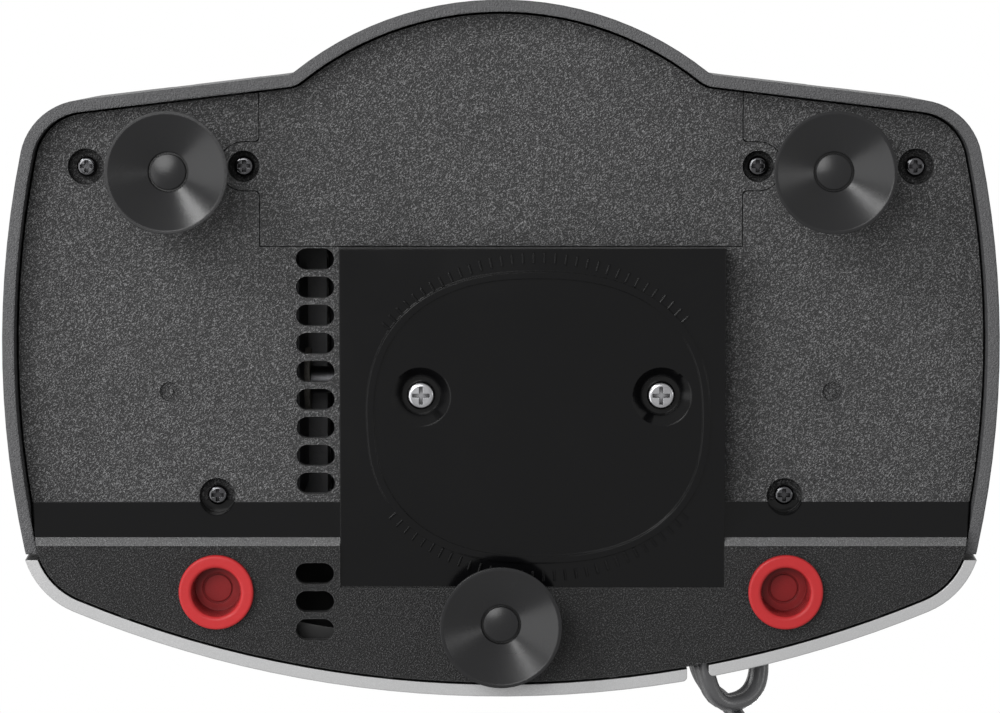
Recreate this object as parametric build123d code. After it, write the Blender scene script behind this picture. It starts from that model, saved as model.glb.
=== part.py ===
from build123d import *
import math
import os

# Electric knife sharpener with two grinding stages. Millimetres, +Z up, standing on its suction
# feet at z = 0, front towards -Y. The origin is below the middle of the body.

# ---------------------------------------------------------------- outline of the body, in plan
HALF_WIDTH = 105.6  # at the widest place of the two bowed sides
SIDE_Y = -1.0  # where the sides are widest
SIDE_R = 208.0  # bow of each side
FRONT_Y = -73.8  # foremost point of the bowed front
FRONT_R = 235.0  # bow of the front
REAR_Y = 73.8  # rearmost point of the bulge
BULGE_R = 70.0  # radius of the bulge round the motor
BULGE_HALF = 44.2  # half width of the bulge where it meets the shoulders
SHOULDER_DEG = 6.8  # fall of the shoulders towards the sides
REAR_CORNER_R = 14.0
FRONT_CORNER_R = 18.0
KINK_R = 3.0  # between bulge and shoulder
AXIS_Y = FRONT_Y + FRONT_R  # centre of the bowed front
STAGE_X = 60.4  # middle of each grinding stage

# ---------------------------------------------------------------- heights
WALL = 2.5  # shells and base plate
FRONT_Z = 9.0  # underside of the front part
PLATE_Z = 9.6  # underside of the motor plate
RIM_Z = 12.0  # lower edge of the rear housing
REAR_Z = 16.0  # underside of the rear part
LIP_Z = 20.0  # top of the lip round the front panel's foot
SHAFT_Z = 46.0
SLOT_FLOOR_Z = 52.0
WING_FRONT_Z = 75.0  # crest of the wings
WING_REAR_Z = 54.0  # wings at their back
CROWN_Z = 108.0  # top of the dome over the motor

# ---------------------------------------------------------------- shells
RIM_GAP = 0.5  # between the rim of the shells and the base plate
RIB_T = 2.0  # ribs inside the shells
RIB_X = (24.0, HALF_WIDTH - 25.6)  # ribs of the front panel that stand on the base plate
LIP_DEPTH = 8.5  # ledge on the lip
FACE_DEG = 15.0  # lean of the front face
CREST_Y = -40.0  # where the front face has turned into the top
CREST_R = 6.0
EDGE_R = 5.0  # between the sides and the top
DOME_HALF = 38.0  # half width of the dome, above the wings
DOME_CORNER_R = 24.0
DOME_FRONT_Y = -39.0  # front of the dome, low down
DOME_LEAN = 4.0  # how far its front leans back
DOME_CREST_Y = 12.0  # behind this the dome falls to the back
DOME_TAIL_Z = 88.0
DOME_FRONT_R = 16.0
DOME_CREST_R = 60.0
PARTING_Y = -44.5  # seam between front panel and rear housing, at the bottom
PARTING_TOP_Y = -41.0
PARTING_GAP = 0.15
FIT = 0.3  # clearance round pieces that are let into a shell
RING_DEG = 100.0  # how far the wings' section is turned round the centre of the bowed front

# ---------------------------------------------------------------- base plate
STEP_Y = -32.95  # upper edge of the sloping step
STEP_FOOT_Y = -41.5  # its lower edge
STEP_R = 3.0
PLATE_X = (-47.4, 34.1)  # motor plate
PLATE_Y = (-50.4, 21.6)
PANEL_HALF = 51.1  # half width of the access panel
PANEL_Y = 21.8  # its front edge
PANEL_FIT = 0.2
EAR_R = 5.1
EAR_CORNER_R = 1.0  # where an ear meets the panel's side
RIDGE_HALF = (36.3, 31.0)  # oval ridge on the motor plate
RIDGE_CENTRE = (-7.9, -14.2)
RIDGE_W = 1.5
RIDGE_H = 0.45
RIDGE_POWER = 2.4  # squareness of the oval
RIDGE_POINTS = 24
VENT_X = 39.5
VENT_LENGTH = 8.15
VENT_WIDTH = 4.6
VENT_PITCH = 6.0
VENT_FIRST_Y = 19.0
VENT_COUNT = 9
LOW_VENT_FIRST_Y = -47.4
LOW_VENT_COUNT = 3
GATE = (HALF_WIDTH - 35.0, -9.3)  # moulding dimple
GATE_R = 2.1
GATE_DEPTH = 0.7

# ---------------------------------------------------------------- feet
REAR_FOOT = (69.45, 38.0)
FRONT_FOOT = (0.0, -57.5)
CUP_R = 12.8
CUP_LIP = 0.7
CUP_DISC_R = 3.7
CUP_GROOVE = (0.5, 0.8)  # width and height of the groove round the disc
CUP_NECK_R = 4.6
CUP_STEM_R = 2.6
CUP_BARB_R = 3.7
CUP_BARB_H = 3.0
CUP_TIP_R = 1.8
CUP_HOLLOW_Z = 4.4  # highest place of the hollow under the cup
CUP_DISC_DROP = 0.5  # of the disc's middle below its edge
CUP_SHOULDER_Z = 6.4  # where the cone meets the neck
FOOT_BOSS_R = 7.8
FOOT_BOSS_WALL = 2.2

# ---------------------------------------------------------------- screws
CASE_SCREW_REAR = (HALF_WIDTH - 17.7, 38.6)
CASE_SCREW_FRONT = (STAGE_X + 0.2, -31.7)
CASE_HEAD_R = 2.1
CASE_HEAD_H = 1.6
CASE_SHANK_R = 1.3
CASE_SCREW_LENGTH = 9.0
CASE_RECESS_R = 3.85
CASE_RECESS_DEPTH = 2.6
CASE_BOSS_R = 5.4
SCREW_POST_R = 4.0
PANEL_SCREW = (54.5, 38.67)
PANEL_RECESS_R = 3.35
MOTOR_SCREW_SPAN = 50.9
MOTOR_SCREW_Y = -9.7
MOTOR_SCREW_R = 2.0
MOTOR_HEAD_R = 3.0
MOTOR_HEAD_H = 2.2
MOTOR_DISH_R = 6.3
MOTOR_HOLE_R = 4.15
MOTOR_BOSS_R = 7.5
DISH_DEPTH = 2.0
MOTOR_SEAT_Z = 13.6
CROSS_DEPTH = 0.9  # of a cross recess
CROSS_W = 0.8
CROSS_SHARE = 0.62  # of the head's radius
HEAD_ROUND = 0.45  # of the head's height
SCREW_HOLE_GAP = 0.3  # screw through a clearance hole

# ---------------------------------------------------------------- motor, shaft and wheels
MOTOR_X = -8.5
SHAFT_Y = MOTOR_SCREW_Y
SHAFT_R = 3.0
SHAFT_HALF = STAGE_X + 10.6
SHAFT_FLAT = 2.4  # height of the drive flat above the axis
RUN_GAP = 0.05  # radial, shaft in its bearings and wheels
STACK_L = 28.0
STACK_X = (MOTOR_X - STACK_L / 2, MOTOR_X + STACK_L / 2)
STACK_W = 40.0
STACK_BOTTOM = 19.0  # below the shaft
STACK_ROOM = 20.0  # above the stack, for its coil, up to the crown
STACK_TOP = CROWN_Z - SHAFT_Z - STACK_ROOM  # above the shaft
STACK_R = 13.4
ROTOR_GAP = 0.4
WINDOW_W = 20.0
WINDOW_Z = (17.0, 26.0)  # above the shaft
BOLT_EDGE = 4.5  # bolts from the edges of the stack
SHADING_R = 1.2
SHADING_PROUD = 1.5
SHADING_WALL = 1.0  # of the stack between a rod and the bore
ROTOR_SLOTS = 16
BOBBIN_WALL = 0.9
WINDING = 6.8
BEARING_R = 6.5
BEARING_L = 8.0
BRACKET_T = 3.0
BRACKET_RING_L = 6.0  # ring that holds the bearing
BRACKET_FOOT_Z = 19.0
BRACKET_FOOT_H = 3.2
FOOT_HALF = (7.0, 13.0)
STANDOFF_R = 4.0
GROMMET_R = 6.0
BOLT_R = 1.9
BOLT_HEAD_R = 3.3
NUT_R = 3.6  # over its corners
FAN_X = (22.8, 32.8)
FAN_R = 19.0
FAN_HUB_R = 6.5
FAN_BLADES = 9
FAN_T = 1.2
WHEEL_R = 20.0
WHEEL_INNER = 2.0  # from the middle of its stage
WHEEL_OUTER = 7.0
SPRING_R = 5.5
SPRING_WIRE = 0.8
SPRING_TURNS = 1.5
SPRING_END = 0.1  # from a disc
CLIP_T = 0.8
CLIP_R = 5.0

# ---------------------------------------------------------------- guides and grit chambers
GUIDE_HALF = 21.5
GUIDE_NECK_HALF = 15.2
GUIDE_LEDGE_Z = 56.5
GUIDE_FLOOR_T = 2.0
GUIDE_ROOM = 1.5  # round the wheels
SLOT_DEG = 20.0
SLOT_W = 5.8  # along X
SLOT_FOOT_X = 5.84  # inner side of a slot at its floor
CHAMBER_HALF = 17.2
CHAMBER_WALL = 1.8
CHAMBER_Y = (-33.8, 14.0)
CHAMBER_Z = REAR_Z + CASE_RECESS_DEPTH + WALL  # on the screw bosses of the base
SEAL_R = 6.0
SEAL_FLANGE = 1.2
SEAL_LIP = 1.0  # of the flange round the seal
CHUTE_HALF = 9.5
CHUTE_HEEL_Y = -37.4  # the chute leaves the chamber's floor
CHUTE_KNEE_Y = -42.7  # and reaches the base plate
CHUTE_Y = -59.8
CHUTE_TOP = 17.1
CHUTE_BEND_Y = -49.0
CHUTE_BACK_Z = 33.0
PLUG_Y = -51.3
PLUG_FLANGE_R = 7.95
PLUG_FLANGE_T = 1.2
PLUG_R = 6.4
PLUG_BORE_R = 5.2
PLUG_MOUTH_R = 0.8  # rounding of the bore's mouth
PLUG_DEPTH = 6.2
PLUG_WALL = 1.0
PLUG_STEPS = 5  # the bore narrows in steps towards its floor
PLUG_STEP = 0.09
PLUG_RING = (2.9, 3.3, 0.3)  # radii and depth of the groove in the floor
PLUG_FIT = 0.08

# ---------------------------------------------------------------- switch and badge
SWITCH_Z = 34.0
BEZEL = (30.0, 15.0, 2.0)
SWITCH_BODY = (26.0, 12.6, 15.0)
BEZEL_SEAT = 0.8
ROCKER = (21.0, 8.4)
ROCKER_DEG = 8.0  # to each side
ROCKER_PROUD = 1.6
ROCKER_SAG = 0.8
ROCKER_DEPTH = 3.4
ROCKER_PIVOT = -2.0
ROCKER_OPENING = (21.8, 10.4)
ROCKER_ROOM = 1.2
PIN_R = 0.8
PIN_L = 0.9
TERMINAL = (4.8, 0.8, 6.0)
TERMINAL_X = 6.0
BADGE = (15.0, 10.0, 1.4)  # half axes and thickness
BADGE_Y = -8.0

# ---------------------------------------------------------------- cord
CORD_R = 2.0
CORD_X = -42.1
CORD_Z = 14.8
NOTCH_X = (-44.2, -39.6)
NOTCH_CORNER_R = 1.0
EXIT_Y = -67.0
SLEEVE_Y = (-57.0, -50.6)
CLAMP_Y = -53.8
CLAMP_SPAN = 11.4
CLAMP_HALF_Y = 2.6
CLAMP_POST_R = 2.2
CLAMP_RISE = 0.6  # posts end this far above the cord's axis
CLAMP_T = 1.5  # over the sleeve
CLAMP_SCREW_R = 1.0
CLAMP_HEAD = (2.0, 1.4)
COIL_AT = (-48.0, -133.0)
COIL_R = 34.8
COIL_SECTION = (14.4, 6.4)  # width and height of the bundle
COIL_ROUND = 2.6
TIE_T = 0.6
TIE_W = 7.0
COIL_Z = COIL_SECTION[1] / 2 + TIE_T
TAIL_Y = COIL_AT[1] - 41.8  # the cord's straight end, from the coil to the plug
BEND_SHARE = 0.45  # of the shorter run beside a bend
ROUTE = [
    (CORD_X, -50.2, CORD_Z),
    (CORD_X, -75.3, CORD_Z),
    (-55.2, -75.3, 20.5),
    (-55.2, -61.2, 24.2),
    (CORD_X, -61.2, 26.5),
    (-42.8, -70.5, 25.0),
    (-50.5, -79.0, 22.0),
    (-57.0, -93.0, 13.5),
    (-67.0, -105.5, 10.5),
    (-73.0, -117.5, 7.5),
    (-76.7, -129.5, COIL_Z),
]
PLUG_BODY = (22.0, 20.0, 12.6)
PLUG_BOOT_R = (3.2, 4.8)  # at the cord and at the body
PLUG_BOOT_L = 12.0
PLUG_BOOT_X = -10.0
PLUG_BOOT_Z = 5.1
PLUG_X = PLUG_BOOT_X + PLUG_BOOT_L
PLUG_SINK = 1.5  # of the cord into the boot
BLADE = (16.0, 1.5, 6.3)
BLADE_SPAN = 12.7
BLADE_HOLE = (1.6, 3.8)  # radius, and its middle from the tip

# ---------------------------------------------------------------- leads
LEAD_R = 0.8
LEAD_BEND_R = 2.0
LEAD_SPLIT = 0.9  # each side of the cord's middle
CONNECTOR = (5.0, 8.0, 7.0)
CONNECTOR_X = (-27.0, 10.0)
CONNECTOR_Z = SHAFT_Z + WINDOW_Z[1] + CONNECTOR[2] / 2
LEAD_RISE_Y = -31.6  # in front of the stack
LEAD_STUB = 5.0  # straight out of a terminal
LINE_VIA = [(CORD_X + LEAD_SPLIT, -45.5, CORD_Z), (-30.0, -38.5, 20.0), (-16.0, -36.0, 25.5)]
NEUTRAL_VIA = [(CORD_X - LEAD_SPLIT, -44.5, CORD_Z), (-41.5, -36.0, 24.0)]
NEUTRAL_VIA += [(CONNECTOR_X[0], LEAD_RISE_Y, 36.0)]
SWITCH_VIA = (CONNECTOR_X[1], LEAD_RISE_Y, 34.0)


# ================================================================ helpers
def pillar(radius, z0, z1, x=0.0, y=0.0):
    """A cylinder along Z."""
    return Pos(x, y, z0) * Cylinder(radius, z1 - z0, align=(Align.CENTER, Align.CENTER, Align.MIN))


def axle(radius, x0, x1, y=SHAFT_Y, z=SHAFT_Z):
    """A cylinder along X."""
    bar = Cylinder(radius, x1 - x0, align=(Align.CENTER, Align.CENTER, Align.MIN))
    return Pos(x0, y, z) * Rot(0, 90, 0) * bar


def block(x, y, z):
    """A box between two limits on each axis."""
    return Pos(x[0], y[0], z[0]) * Box(x[1] - x[0], y[1] - y[0], z[1] - z[0], align=(Align.MIN,) * 3)


def along_x(points, x0, x1):
    """A prism whose section, given as (y, z) points, runs along X."""
    face = make_face(Polyline(*[(0, y, z) for y, z in points], close=True))
    return Pos(x0, 0, 0) * extrude(face, x1 - x0, dir=(1, 0, 0))


def along_y(points, y0, y1):
    """A prism whose section, given as (x, z) points, runs along Y."""
    face = make_face(Polyline(*[(x, 0, z) for x, z in points], close=True))
    return Pos(0, y0, 0) * extrude(face, y1 - y0, dir=(0, 1, 0))


def both_sides(shape):
    """A shape and its mirror image across X = 0."""
    return shape + mirror(shape, Plane.YZ)


def write(shape, node):
    """One STEP file for one node, as one solid or a group of separate ones."""
    solids = shape.solids()
    export_step(solids[0] if len(solids) == 1 else Compound(solids), f"parts/{node}.step")


# ================================================================ outer form
def line_meets_circle(centre, radius, start, heading):
    """The far point where a ray meets a circle."""
    fx, fy = start[0] - centre[0], start[1] - centre[1]
    dx, dy = math.cos(heading), math.sin(heading)
    b = fx * dx + fy * dy
    t = -b + math.sqrt(b * b - fx * fx - fy * fy + radius * radius)
    return start[0] + t * dx, start[1] + t * dy


def circles_meet(c0, r0, c1, r1):
    """The point to the right of the way from c0 to c1 where two circles meet."""
    dx, dy = c1[0] - c0[0], c1[1] - c0[1]
    d = math.hypot(dx, dy)
    along = (r0 * r0 - r1 * r1 + d * d) / (2 * d)
    off = math.sqrt(r0 * r0 - along * along)
    return c0[0] + (along * dx + off * dy) / d, c0[1] + (along * dy - off * dx) / d


def outline(inset=0.0, bulge=True):
    """The body in plan, with or without the bulge, moved in by a distance all round."""
    kink = (BULGE_HALF, REAR_Y - BULGE_R + math.sqrt(BULGE_R**2 - BULGE_HALF**2))
    side_centre = (HALF_WIDTH - SIDE_R, SIDE_Y)
    rear = line_meets_circle(side_centre, SIDE_R, kink, math.radians(-SHOULDER_DEG))
    front = circles_meet(side_centre, SIDE_R, (0, AXIS_Y), FRONT_R)

    def left(point):
        return -point[0], point[1]

    side = (HALF_WIDTH, SIDE_Y)
    middle = kink[1] + BULGE_HALF * math.tan(math.radians(SHOULDER_DEG))
    if bulge:
        back = [Line(rear, kink), ThreePointArc(kink, (0, REAR_Y), left(kink)), Line(left(kink), left(rear))]
    else:
        back = [Polyline(rear, (0, middle), left(rear))]
    face = make_face(
        [
            ThreePointArc(left(front), (0, FRONT_Y), front),
            ThreePointArc(front, side, rear),
            *back,
            ThreePointArc(left(rear), left(side), left(front)),
        ]
    )
    rounded = [(rear, REAR_CORNER_R), (front, FRONT_CORNER_R)] + [(kink, KINK_R)] * bulge
    for corner, radius in rounded:
        for x, y in (corner, left(corner)):
            face = fillet(face.vertices().sort_by_distance((x, y, 0))[0], radius)
    return offset(face, -inset, kind=Kind.INTERSECTION) if inset else face


def shoulder_edges(form):
    """The edges between the upright sides and the curved top, from the lip round the back."""
    return [
        edge
        for edge in form.edges()
        if edge.center().Z > LIP_Z + WALL
        and abs(edge.center().X) > EDGE_R
        and edge.bounding_box().size.X + edge.bounding_box().size.Y > EDGE_R / 4
        and edge.geom_type != GeomType.LINE
    ]


def wing_form(inset):
    """The low body: its plan outline under a crest that follows the bowed front."""
    face_foot = FRONT_Y + LIP_DEPTH
    face_rise = WING_FRONT_Z - LIP_Z
    crest = face_foot + face_rise * math.tan(math.radians(FACE_DEG))
    corners = [
        (FRONT_Y, -WALL),
        (FRONT_Y, LIP_Z),
        (face_foot, LIP_Z),
        (crest, WING_FRONT_Z),
        (CREST_Y, WING_FRONT_Z),
        (REAR_Y, WING_REAR_Z),
        (REAR_Y, -WALL),
    ]
    face = make_face(Polyline(*[(0, y, z) for y, z in corners], close=True))
    face = fillet(face.vertices().sort_by_distance((0, crest, WING_FRONT_Z))[0], CREST_R)
    if inset:
        face = offset(face, -inset, kind=Kind.INTERSECTION)
    ring = revolve(face, Axis((0, AXIS_Y, 0), (0, 0, 1)), RING_DEG)
    ring = Pos(0, AXIS_Y, 0) * Rot(0, 0, -RING_DEG / 2) * Pos(0, -AXIS_Y, 0) * ring
    form = ring & extrude(outline(inset, bulge=False), CROWN_Z)
    form = fillet(shoulder_edges(form), EDGE_R - inset)
    middle = BULGE_HALF + KINK_R
    bulge = ring & extrude(outline(inset), CROWN_Z) & block((-middle, middle), (0, 2 * REAR_Y), (0, CROWN_Z))
    return form + bulge


def dome_form(inset):
    """The tall part over the motor, between the two stages."""
    low = -WALL
    sides = make_face(
        Polyline(
            (-DOME_HALF, 0, low),
            (-DOME_HALF, 0, CROWN_Z),
            (DOME_HALF, 0, CROWN_Z),
            (DOME_HALF, 0, low),
            close=True,
        )
    )
    for x in (-DOME_HALF, DOME_HALF):
        sides = fillet(sides.vertices().sort_by_distance((x, 0, CROWN_Z))[0], DOME_CORNER_R)
    corners = [
        (DOME_FRONT_Y, low),
        (DOME_FRONT_Y + DOME_LEAN, CROWN_Z),
        (DOME_CREST_Y, CROWN_Z),
        (REAR_Y + WALL, DOME_TAIL_Z),
        (REAR_Y + WALL, low),
    ]
    length = make_face(Polyline(*[(0, y, z) for y, z in corners], close=True))
    for (y, z), radius in zip(corners[1:3], (DOME_FRONT_R, DOME_CREST_R)):
        length = fillet(length.vertices().sort_by_distance((0, y, z))[0], radius)
    if inset:
        sides = offset(sides, -inset, kind=Kind.INTERSECTION)
        length = offset(length, -inset, kind=Kind.INTERSECTION)
    across = Pos(0, -CROWN_Z, 0) * extrude(sides, 2 * CROWN_Z, dir=(0, 1, 0))
    lengthwise = Pos(-CROWN_Z, 0, 0) * extrude(length, 2 * CROWN_Z, dir=(1, 0, 0))
    return across & lengthwise & extrude(outline(inset), CROWN_Z)


def body_form(inset=0.0):
    """The whole outer form, moved in by a distance, solid down to the table."""
    return wing_form(inset) + dome_form(inset)


def guide_section(clear=0.0):
    """Section of a blade guide across the slots, as (x, z) from the middle of its stage."""
    neck, half = GUIDE_NECK_HALF + clear, GUIDE_HALF + clear
    floor, ledge = SLOT_FLOOR_Z - GUIDE_FLOOR_T - clear, GUIDE_LEDGE_Z - clear
    return [(-neck, floor), (neck, floor), (neck, ledge), (half, ledge)] + [
        (half, CROWN_Z),
        (-half, CROWN_Z),
        (-half, ledge),
        (-neck, ledge),
    ]


def guide_space(clear=0.0):
    """What a guide takes up in the body, before the body's own shape bounds it."""
    return Pos(STAGE_X, 0, 0) * along_y(guide_section(clear), 2 * FRONT_Y, 2 * REAR_Y)


# ================================================================ shells
def switch_plane():
    """The front face at the middle of the switch, looking out of the face."""
    lean = math.radians(FACE_DEG)
    y = FRONT_Y + LIP_DEPTH + (SWITCH_Z - LIP_Z) * math.tan(lean)
    return Plane((0, y, SWITCH_Z), x_dir=(1, 0, 0), z_dir=(0, -math.cos(lean), math.sin(lean)))


def in_face(size, low, high):
    """A box let into the front face, from one depth to another along its normal."""
    box = Box(*size, high - low, align=(Align.CENTER, Align.CENTER, Align.MIN))
    return switch_plane() * Pos(0, 0, low) * box


def parting(y_shift, z0):
    """The space in front of the seam, moved back by a distance."""
    top = WING_FRONT_Z + WALL
    return along_x(
        [(2 * FRONT_Y, z0), (PARTING_Y + y_shift, z0), (PARTING_TOP_Y + y_shift, top), (2 * FRONT_Y, top)],
        -2 * HALF_WIDTH,
        2 * HALF_WIDTH,
    )


def front_at(x, depth):
    """Where the bowed front is at a place along X, moved in by a depth."""
    return AXIS_Y - math.sqrt((FRONT_R - depth) ** 2 - x * x)


def make_front_panel(shell):
    panel = shell & parting(0, FRONT_Z)
    for x in RIB_X:
        y = (front_at(x, WALL / 2), front_at(x, LIP_DEPTH + WALL / 2))
        panel += both_sides(block((x - RIB_T / 2, x + RIB_T / 2), y, (FRONT_Z + WALL, LIP_Z - WALL / 2)))
    panel -= both_sides(guide_space(FIT))
    panel -= in_face((BEZEL[0] + 2 * FIT, BEZEL[1] + 2 * FIT), -BEZEL_SEAT, WALL)
    panel -= in_face((SWITCH_BODY[0] + 2 * FIT, SWITCH_BODY[1] + 2 * FIT), -4 * WALL, WALL)
    # the gap in the lip that the cord leaves by
    panel -= block(NOTCH_X, (2 * FRONT_Y, EXIT_Y + RIM_GAP), (0, LIP_Z + WALL))
    for x in NOTCH_X:
        corner = panel.edges().filter_by(Axis.Z).sort_by_distance((x, front_at(x, 0), (FRONT_Z + LIP_Z) / 2))
        panel = fillet(corner[0], NOTCH_CORNER_R)
    return panel


def screw_post(place, top):
    """A post of the housing over a screw boss, with its pilot hole."""
    x, y = place
    return pillar(SCREW_POST_R, CHAMBER_Z, top, x, y)


def make_rear_housing(shell, inner):
    housing = shell - parting(PARTING_GAP, -WALL) - block(
        (-2 * HALF_WIDTH, 2 * HALF_WIDTH), (2 * FRONT_Y, 2 * REAR_Y), (-WALL, RIM_Z)
    )
    housing -= both_sides(guide_space(FIT))
    x, y = PANEL_SCREW
    rib_top = SLOT_FLOOR_Z - GUIDE_FLOOR_T - 2 * FIT
    posts = screw_post(CASE_SCREW_REAR, CROWN_Z) + screw_post(PANEL_SCREW, rib_top)
    posts += block((x - RIB_T / 2, x + RIB_T / 2), (y, REAR_Y), (CHAMBER_Z, rib_top))
    housing += both_sides(posts & inner)
    for x, y in (CASE_SCREW_REAR, PANEL_SCREW):
        housing -= both_sides(pillar(CASE_SHANK_R, 0, CHAMBER_Z + CASE_SCREW_LENGTH, x, y))
    seat = Ellipse(BADGE[0] + PANEL_FIT, BADGE[1] + PANEL_FIT)
    return housing - Pos(0, BADGE_Y, CROWN_Z - BADGE[2]) * extrude(seat, CROWN_Z)


def make_badge():
    badge = Pos(0, BADGE_Y, CROWN_Z - BADGE[2]) * extrude(Ellipse(BADGE[0], BADGE[1]), BADGE[2])
    return chamfer(badge.faces().sort_by(Axis.Z)[-1].edges(), PANEL_FIT)


# ================================================================ base
def access_space(clear=0.0):
    """The access panel in plan, with its ears, grown by a clearance."""
    plan = Pos(0, PANEL_Y - clear + REAR_Y / 2) * Rectangle(2 * (PANEL_HALF + clear), REAR_Y)
    half, ear, y = PANEL_HALF + clear, EAR_R + clear, PANEL_SCREW[1]
    for side in (-1, 1):
        plan += Pos(side * half, y) * SlotOverall(2 * (PANEL_SCREW[0] - half + ear), 2 * ear)
    for side in (-1, 1):
        for edge_y in (y - ear, y + ear):
            plan = fillet(plan.vertices().sort_by_distance((side * half, edge_y, 0))[0], EAR_CORNER_R)
    return plan & outline(WALL + RIM_GAP)


def slab(plan, z0, thick):
    return Pos(0, 0, z0) * extrude(plan, thick)


def oval(half_x, half_y):
    """The squarish oval of the motor plate's ridge, as a face."""
    exponent = 2.0 / RIDGE_POWER
    points = []
    for i in range(RIDGE_POINTS):
        a = 2 * math.pi * i / RIDGE_POINTS
        c, s = math.cos(a), math.sin(a)
        points.append(
            (
                math.copysign(abs(c) ** exponent, c) * half_x,
                math.copysign(abs(s) ** exponent, s) * half_y,
            )
        )
    return make_face(Spline(*points, periodic=True))


def vent(y):
    return Pos(VENT_X, y) * SlotOverall(VENT_LENGTH, VENT_WIDTH)


def vents():
    """Every vent slot, as cutters from below the base to above it."""
    rows = [VENT_FIRST_Y - i * VENT_PITCH for i in range(VENT_COUNT)]
    rows += [LOW_VENT_FIRST_Y - i * VENT_PITCH for i in range(LOW_VENT_COUNT)]
    return [extrude(vent(y), CHAMBER_Z) for y in rows]


def motor_screw_places():
    return [(MOTOR_X + side * MOTOR_SCREW_SPAN / 2, MOTOR_SCREW_Y) for side in (-1, 1)]


def make_base_plate():
    rise = (REAR_Z - FRONT_Z) / (STEP_Y - STEP_FOOT_Y)
    back = WALL * math.tan(math.atan(rise) / 2)
    underside = [(2 * FRONT_Y, FRONT_Z), (STEP_FOOT_Y, FRONT_Z), (STEP_Y, REAR_Z), (2 * REAR_Y, REAR_Z)]
    topside = [
        (2 * REAR_Y, REAR_Z + WALL),
        (STEP_Y - back, REAR_Z + WALL),
        (STEP_FOOT_Y - back, FRONT_Z + WALL),
        (2 * FRONT_Y, FRONT_Z + WALL),
    ]
    section = make_face(Polyline(*[(0, y, z) for y, z in underside + topside], close=True))
    section = fillet(section.vertices().sort_by_distance((0, STEP_FOOT_Y, FRONT_Z))[0], STEP_R)
    base = Pos(-2 * HALF_WIDTH, 0, 0) * extrude(section, 4 * HALF_WIDTH, dir=(1, 0, 0))
    base &= slab(outline(WALL + RIM_GAP), 0, CROWN_Z)
    # the well that holds the motor
    inner_x = (PLATE_X[0] + WALL, PLATE_X[1] - WALL)
    inner_y = (PLATE_Y[0] + WALL, PLATE_Y[1] - WALL)
    base += block(PLATE_X, (STEP_FOOT_Y - back, PLATE_Y[1]), (PLATE_Z, REAR_Z + WALL))
    base += block(PLATE_X, PLATE_Y, (FRONT_Z, PLATE_Z + WALL))
    base -= block(inner_x, inner_y, (PLATE_Z + WALL, CROWN_Z))
    base -= block(PLATE_X, PLATE_Y, (0, PLATE_Z))
    ring = oval(*RIDGE_HALF) - oval(RIDGE_HALF[0] - RIDGE_W, RIDGE_HALF[1] - RIDGE_W)
    base += Pos(*RIDGE_CENTRE, PLATE_Z - RIDGE_H) * extrude(ring, RIDGE_H + WALL / 2)
    # bosses
    rear_x, rear_y = REAR_FOOT
    base += both_sides(pillar(FOOT_BOSS_R, FRONT_Z, REAR_Z, rear_x, rear_y))
    ceiling = [(2 * REAR_Y, CROWN_Z), (2 * FRONT_Y, CROWN_Z)]
    above = along_x(underside + ceiling, -2 * HALF_WIDTH, 2 * HALF_WIDTH)
    for x, y in (CASE_SCREW_REAR, CASE_SCREW_FRONT):
        base += both_sides(pillar(CASE_BOSS_R, FRONT_Z, CHAMBER_Z, x, y)) & above
    for x, y in motor_screw_places():
        base += pillar(MOTOR_BOSS_R, PLATE_Z + WALL / 2, MOTOR_SEAT_Z + WALL, x, y)
    for x in clamp_xs():
        base += pillar(CLAMP_POST_R, FRONT_Z + WALL / 2, CORD_Z + CLAMP_RISE, x, CLAMP_Y)
    # openings and recesses
    base -= slab(access_space(PANEL_FIT), 0, CROWN_Z)
    base -= both_sides(pillar(FOOT_BOSS_R - FOOT_BOSS_WALL, FRONT_Z + WALL, CROWN_Z, rear_x, rear_y))
    for x, y in (REAR_FOOT, (-rear_x, rear_y), FRONT_FOOT):
        base -= pillar(CUP_STEM_R + PANEL_FIT / 2, 0, REAR_Z, x, y)
    for x, y in (CASE_SCREW_REAR, CASE_SCREW_FRONT):
        base -= both_sides(pillar(CASE_RECESS_R, 0, REAR_Z + CASE_RECESS_DEPTH, x, y))
        base -= both_sides(pillar(CASE_SHANK_R + SCREW_HOLE_GAP, 0, CROWN_Z, x, y))
    for x, y in motor_screw_places():
        dish = Cone(MOTOR_DISH_R, MOTOR_HOLE_R, DISH_DEPTH, align=(Align.CENTER, Align.CENTER, Align.MIN))
        base -= Pos(x, y, PLATE_Z) * dish
        base -= pillar(MOTOR_HOLE_R, 0, MOTOR_SEAT_Z, x, y)
        base -= pillar(MOTOR_SCREW_R + SCREW_HOLE_GAP, 0, CROWN_Z, x, y)
    base -= both_sides(pillar(PLUG_R + PLUG_FIT, 0, CROWN_Z, STAGE_X, PLUG_Y))
    for x in clamp_xs():
        base -= pillar(CLAMP_SCREW_R, FRONT_Z + WALL / 2, CROWN_Z, x, CLAMP_Y)
    for cutter in vents():
        base -= cutter
    gate_x, gate_y = GATE
    dimple = pillar(GATE_R, 0, REAR_Z + GATE_DEPTH, gate_x, gate_y)
    dimple -= pillar(GATE_R / 3, 0, REAR_Z + GATE_DEPTH, gate_x, gate_y)
    return base - both_sides(dimple)


def make_access_panel():
    panel = slab(access_space(), REAR_Z, WALL)
    x, y = PANEL_SCREW
    panel += both_sides(pillar(EAR_R - PANEL_FIT, REAR_Z, CHAMBER_Z, x, y))
    panel -= both_sides(pillar(PANEL_RECESS_R, 0, REAR_Z + CASE_RECESS_DEPTH, x, y))
    return panel - both_sides(pillar(CASE_SHANK_R + SCREW_HOLE_GAP, 0, CROWN_Z, x, y))


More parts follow.
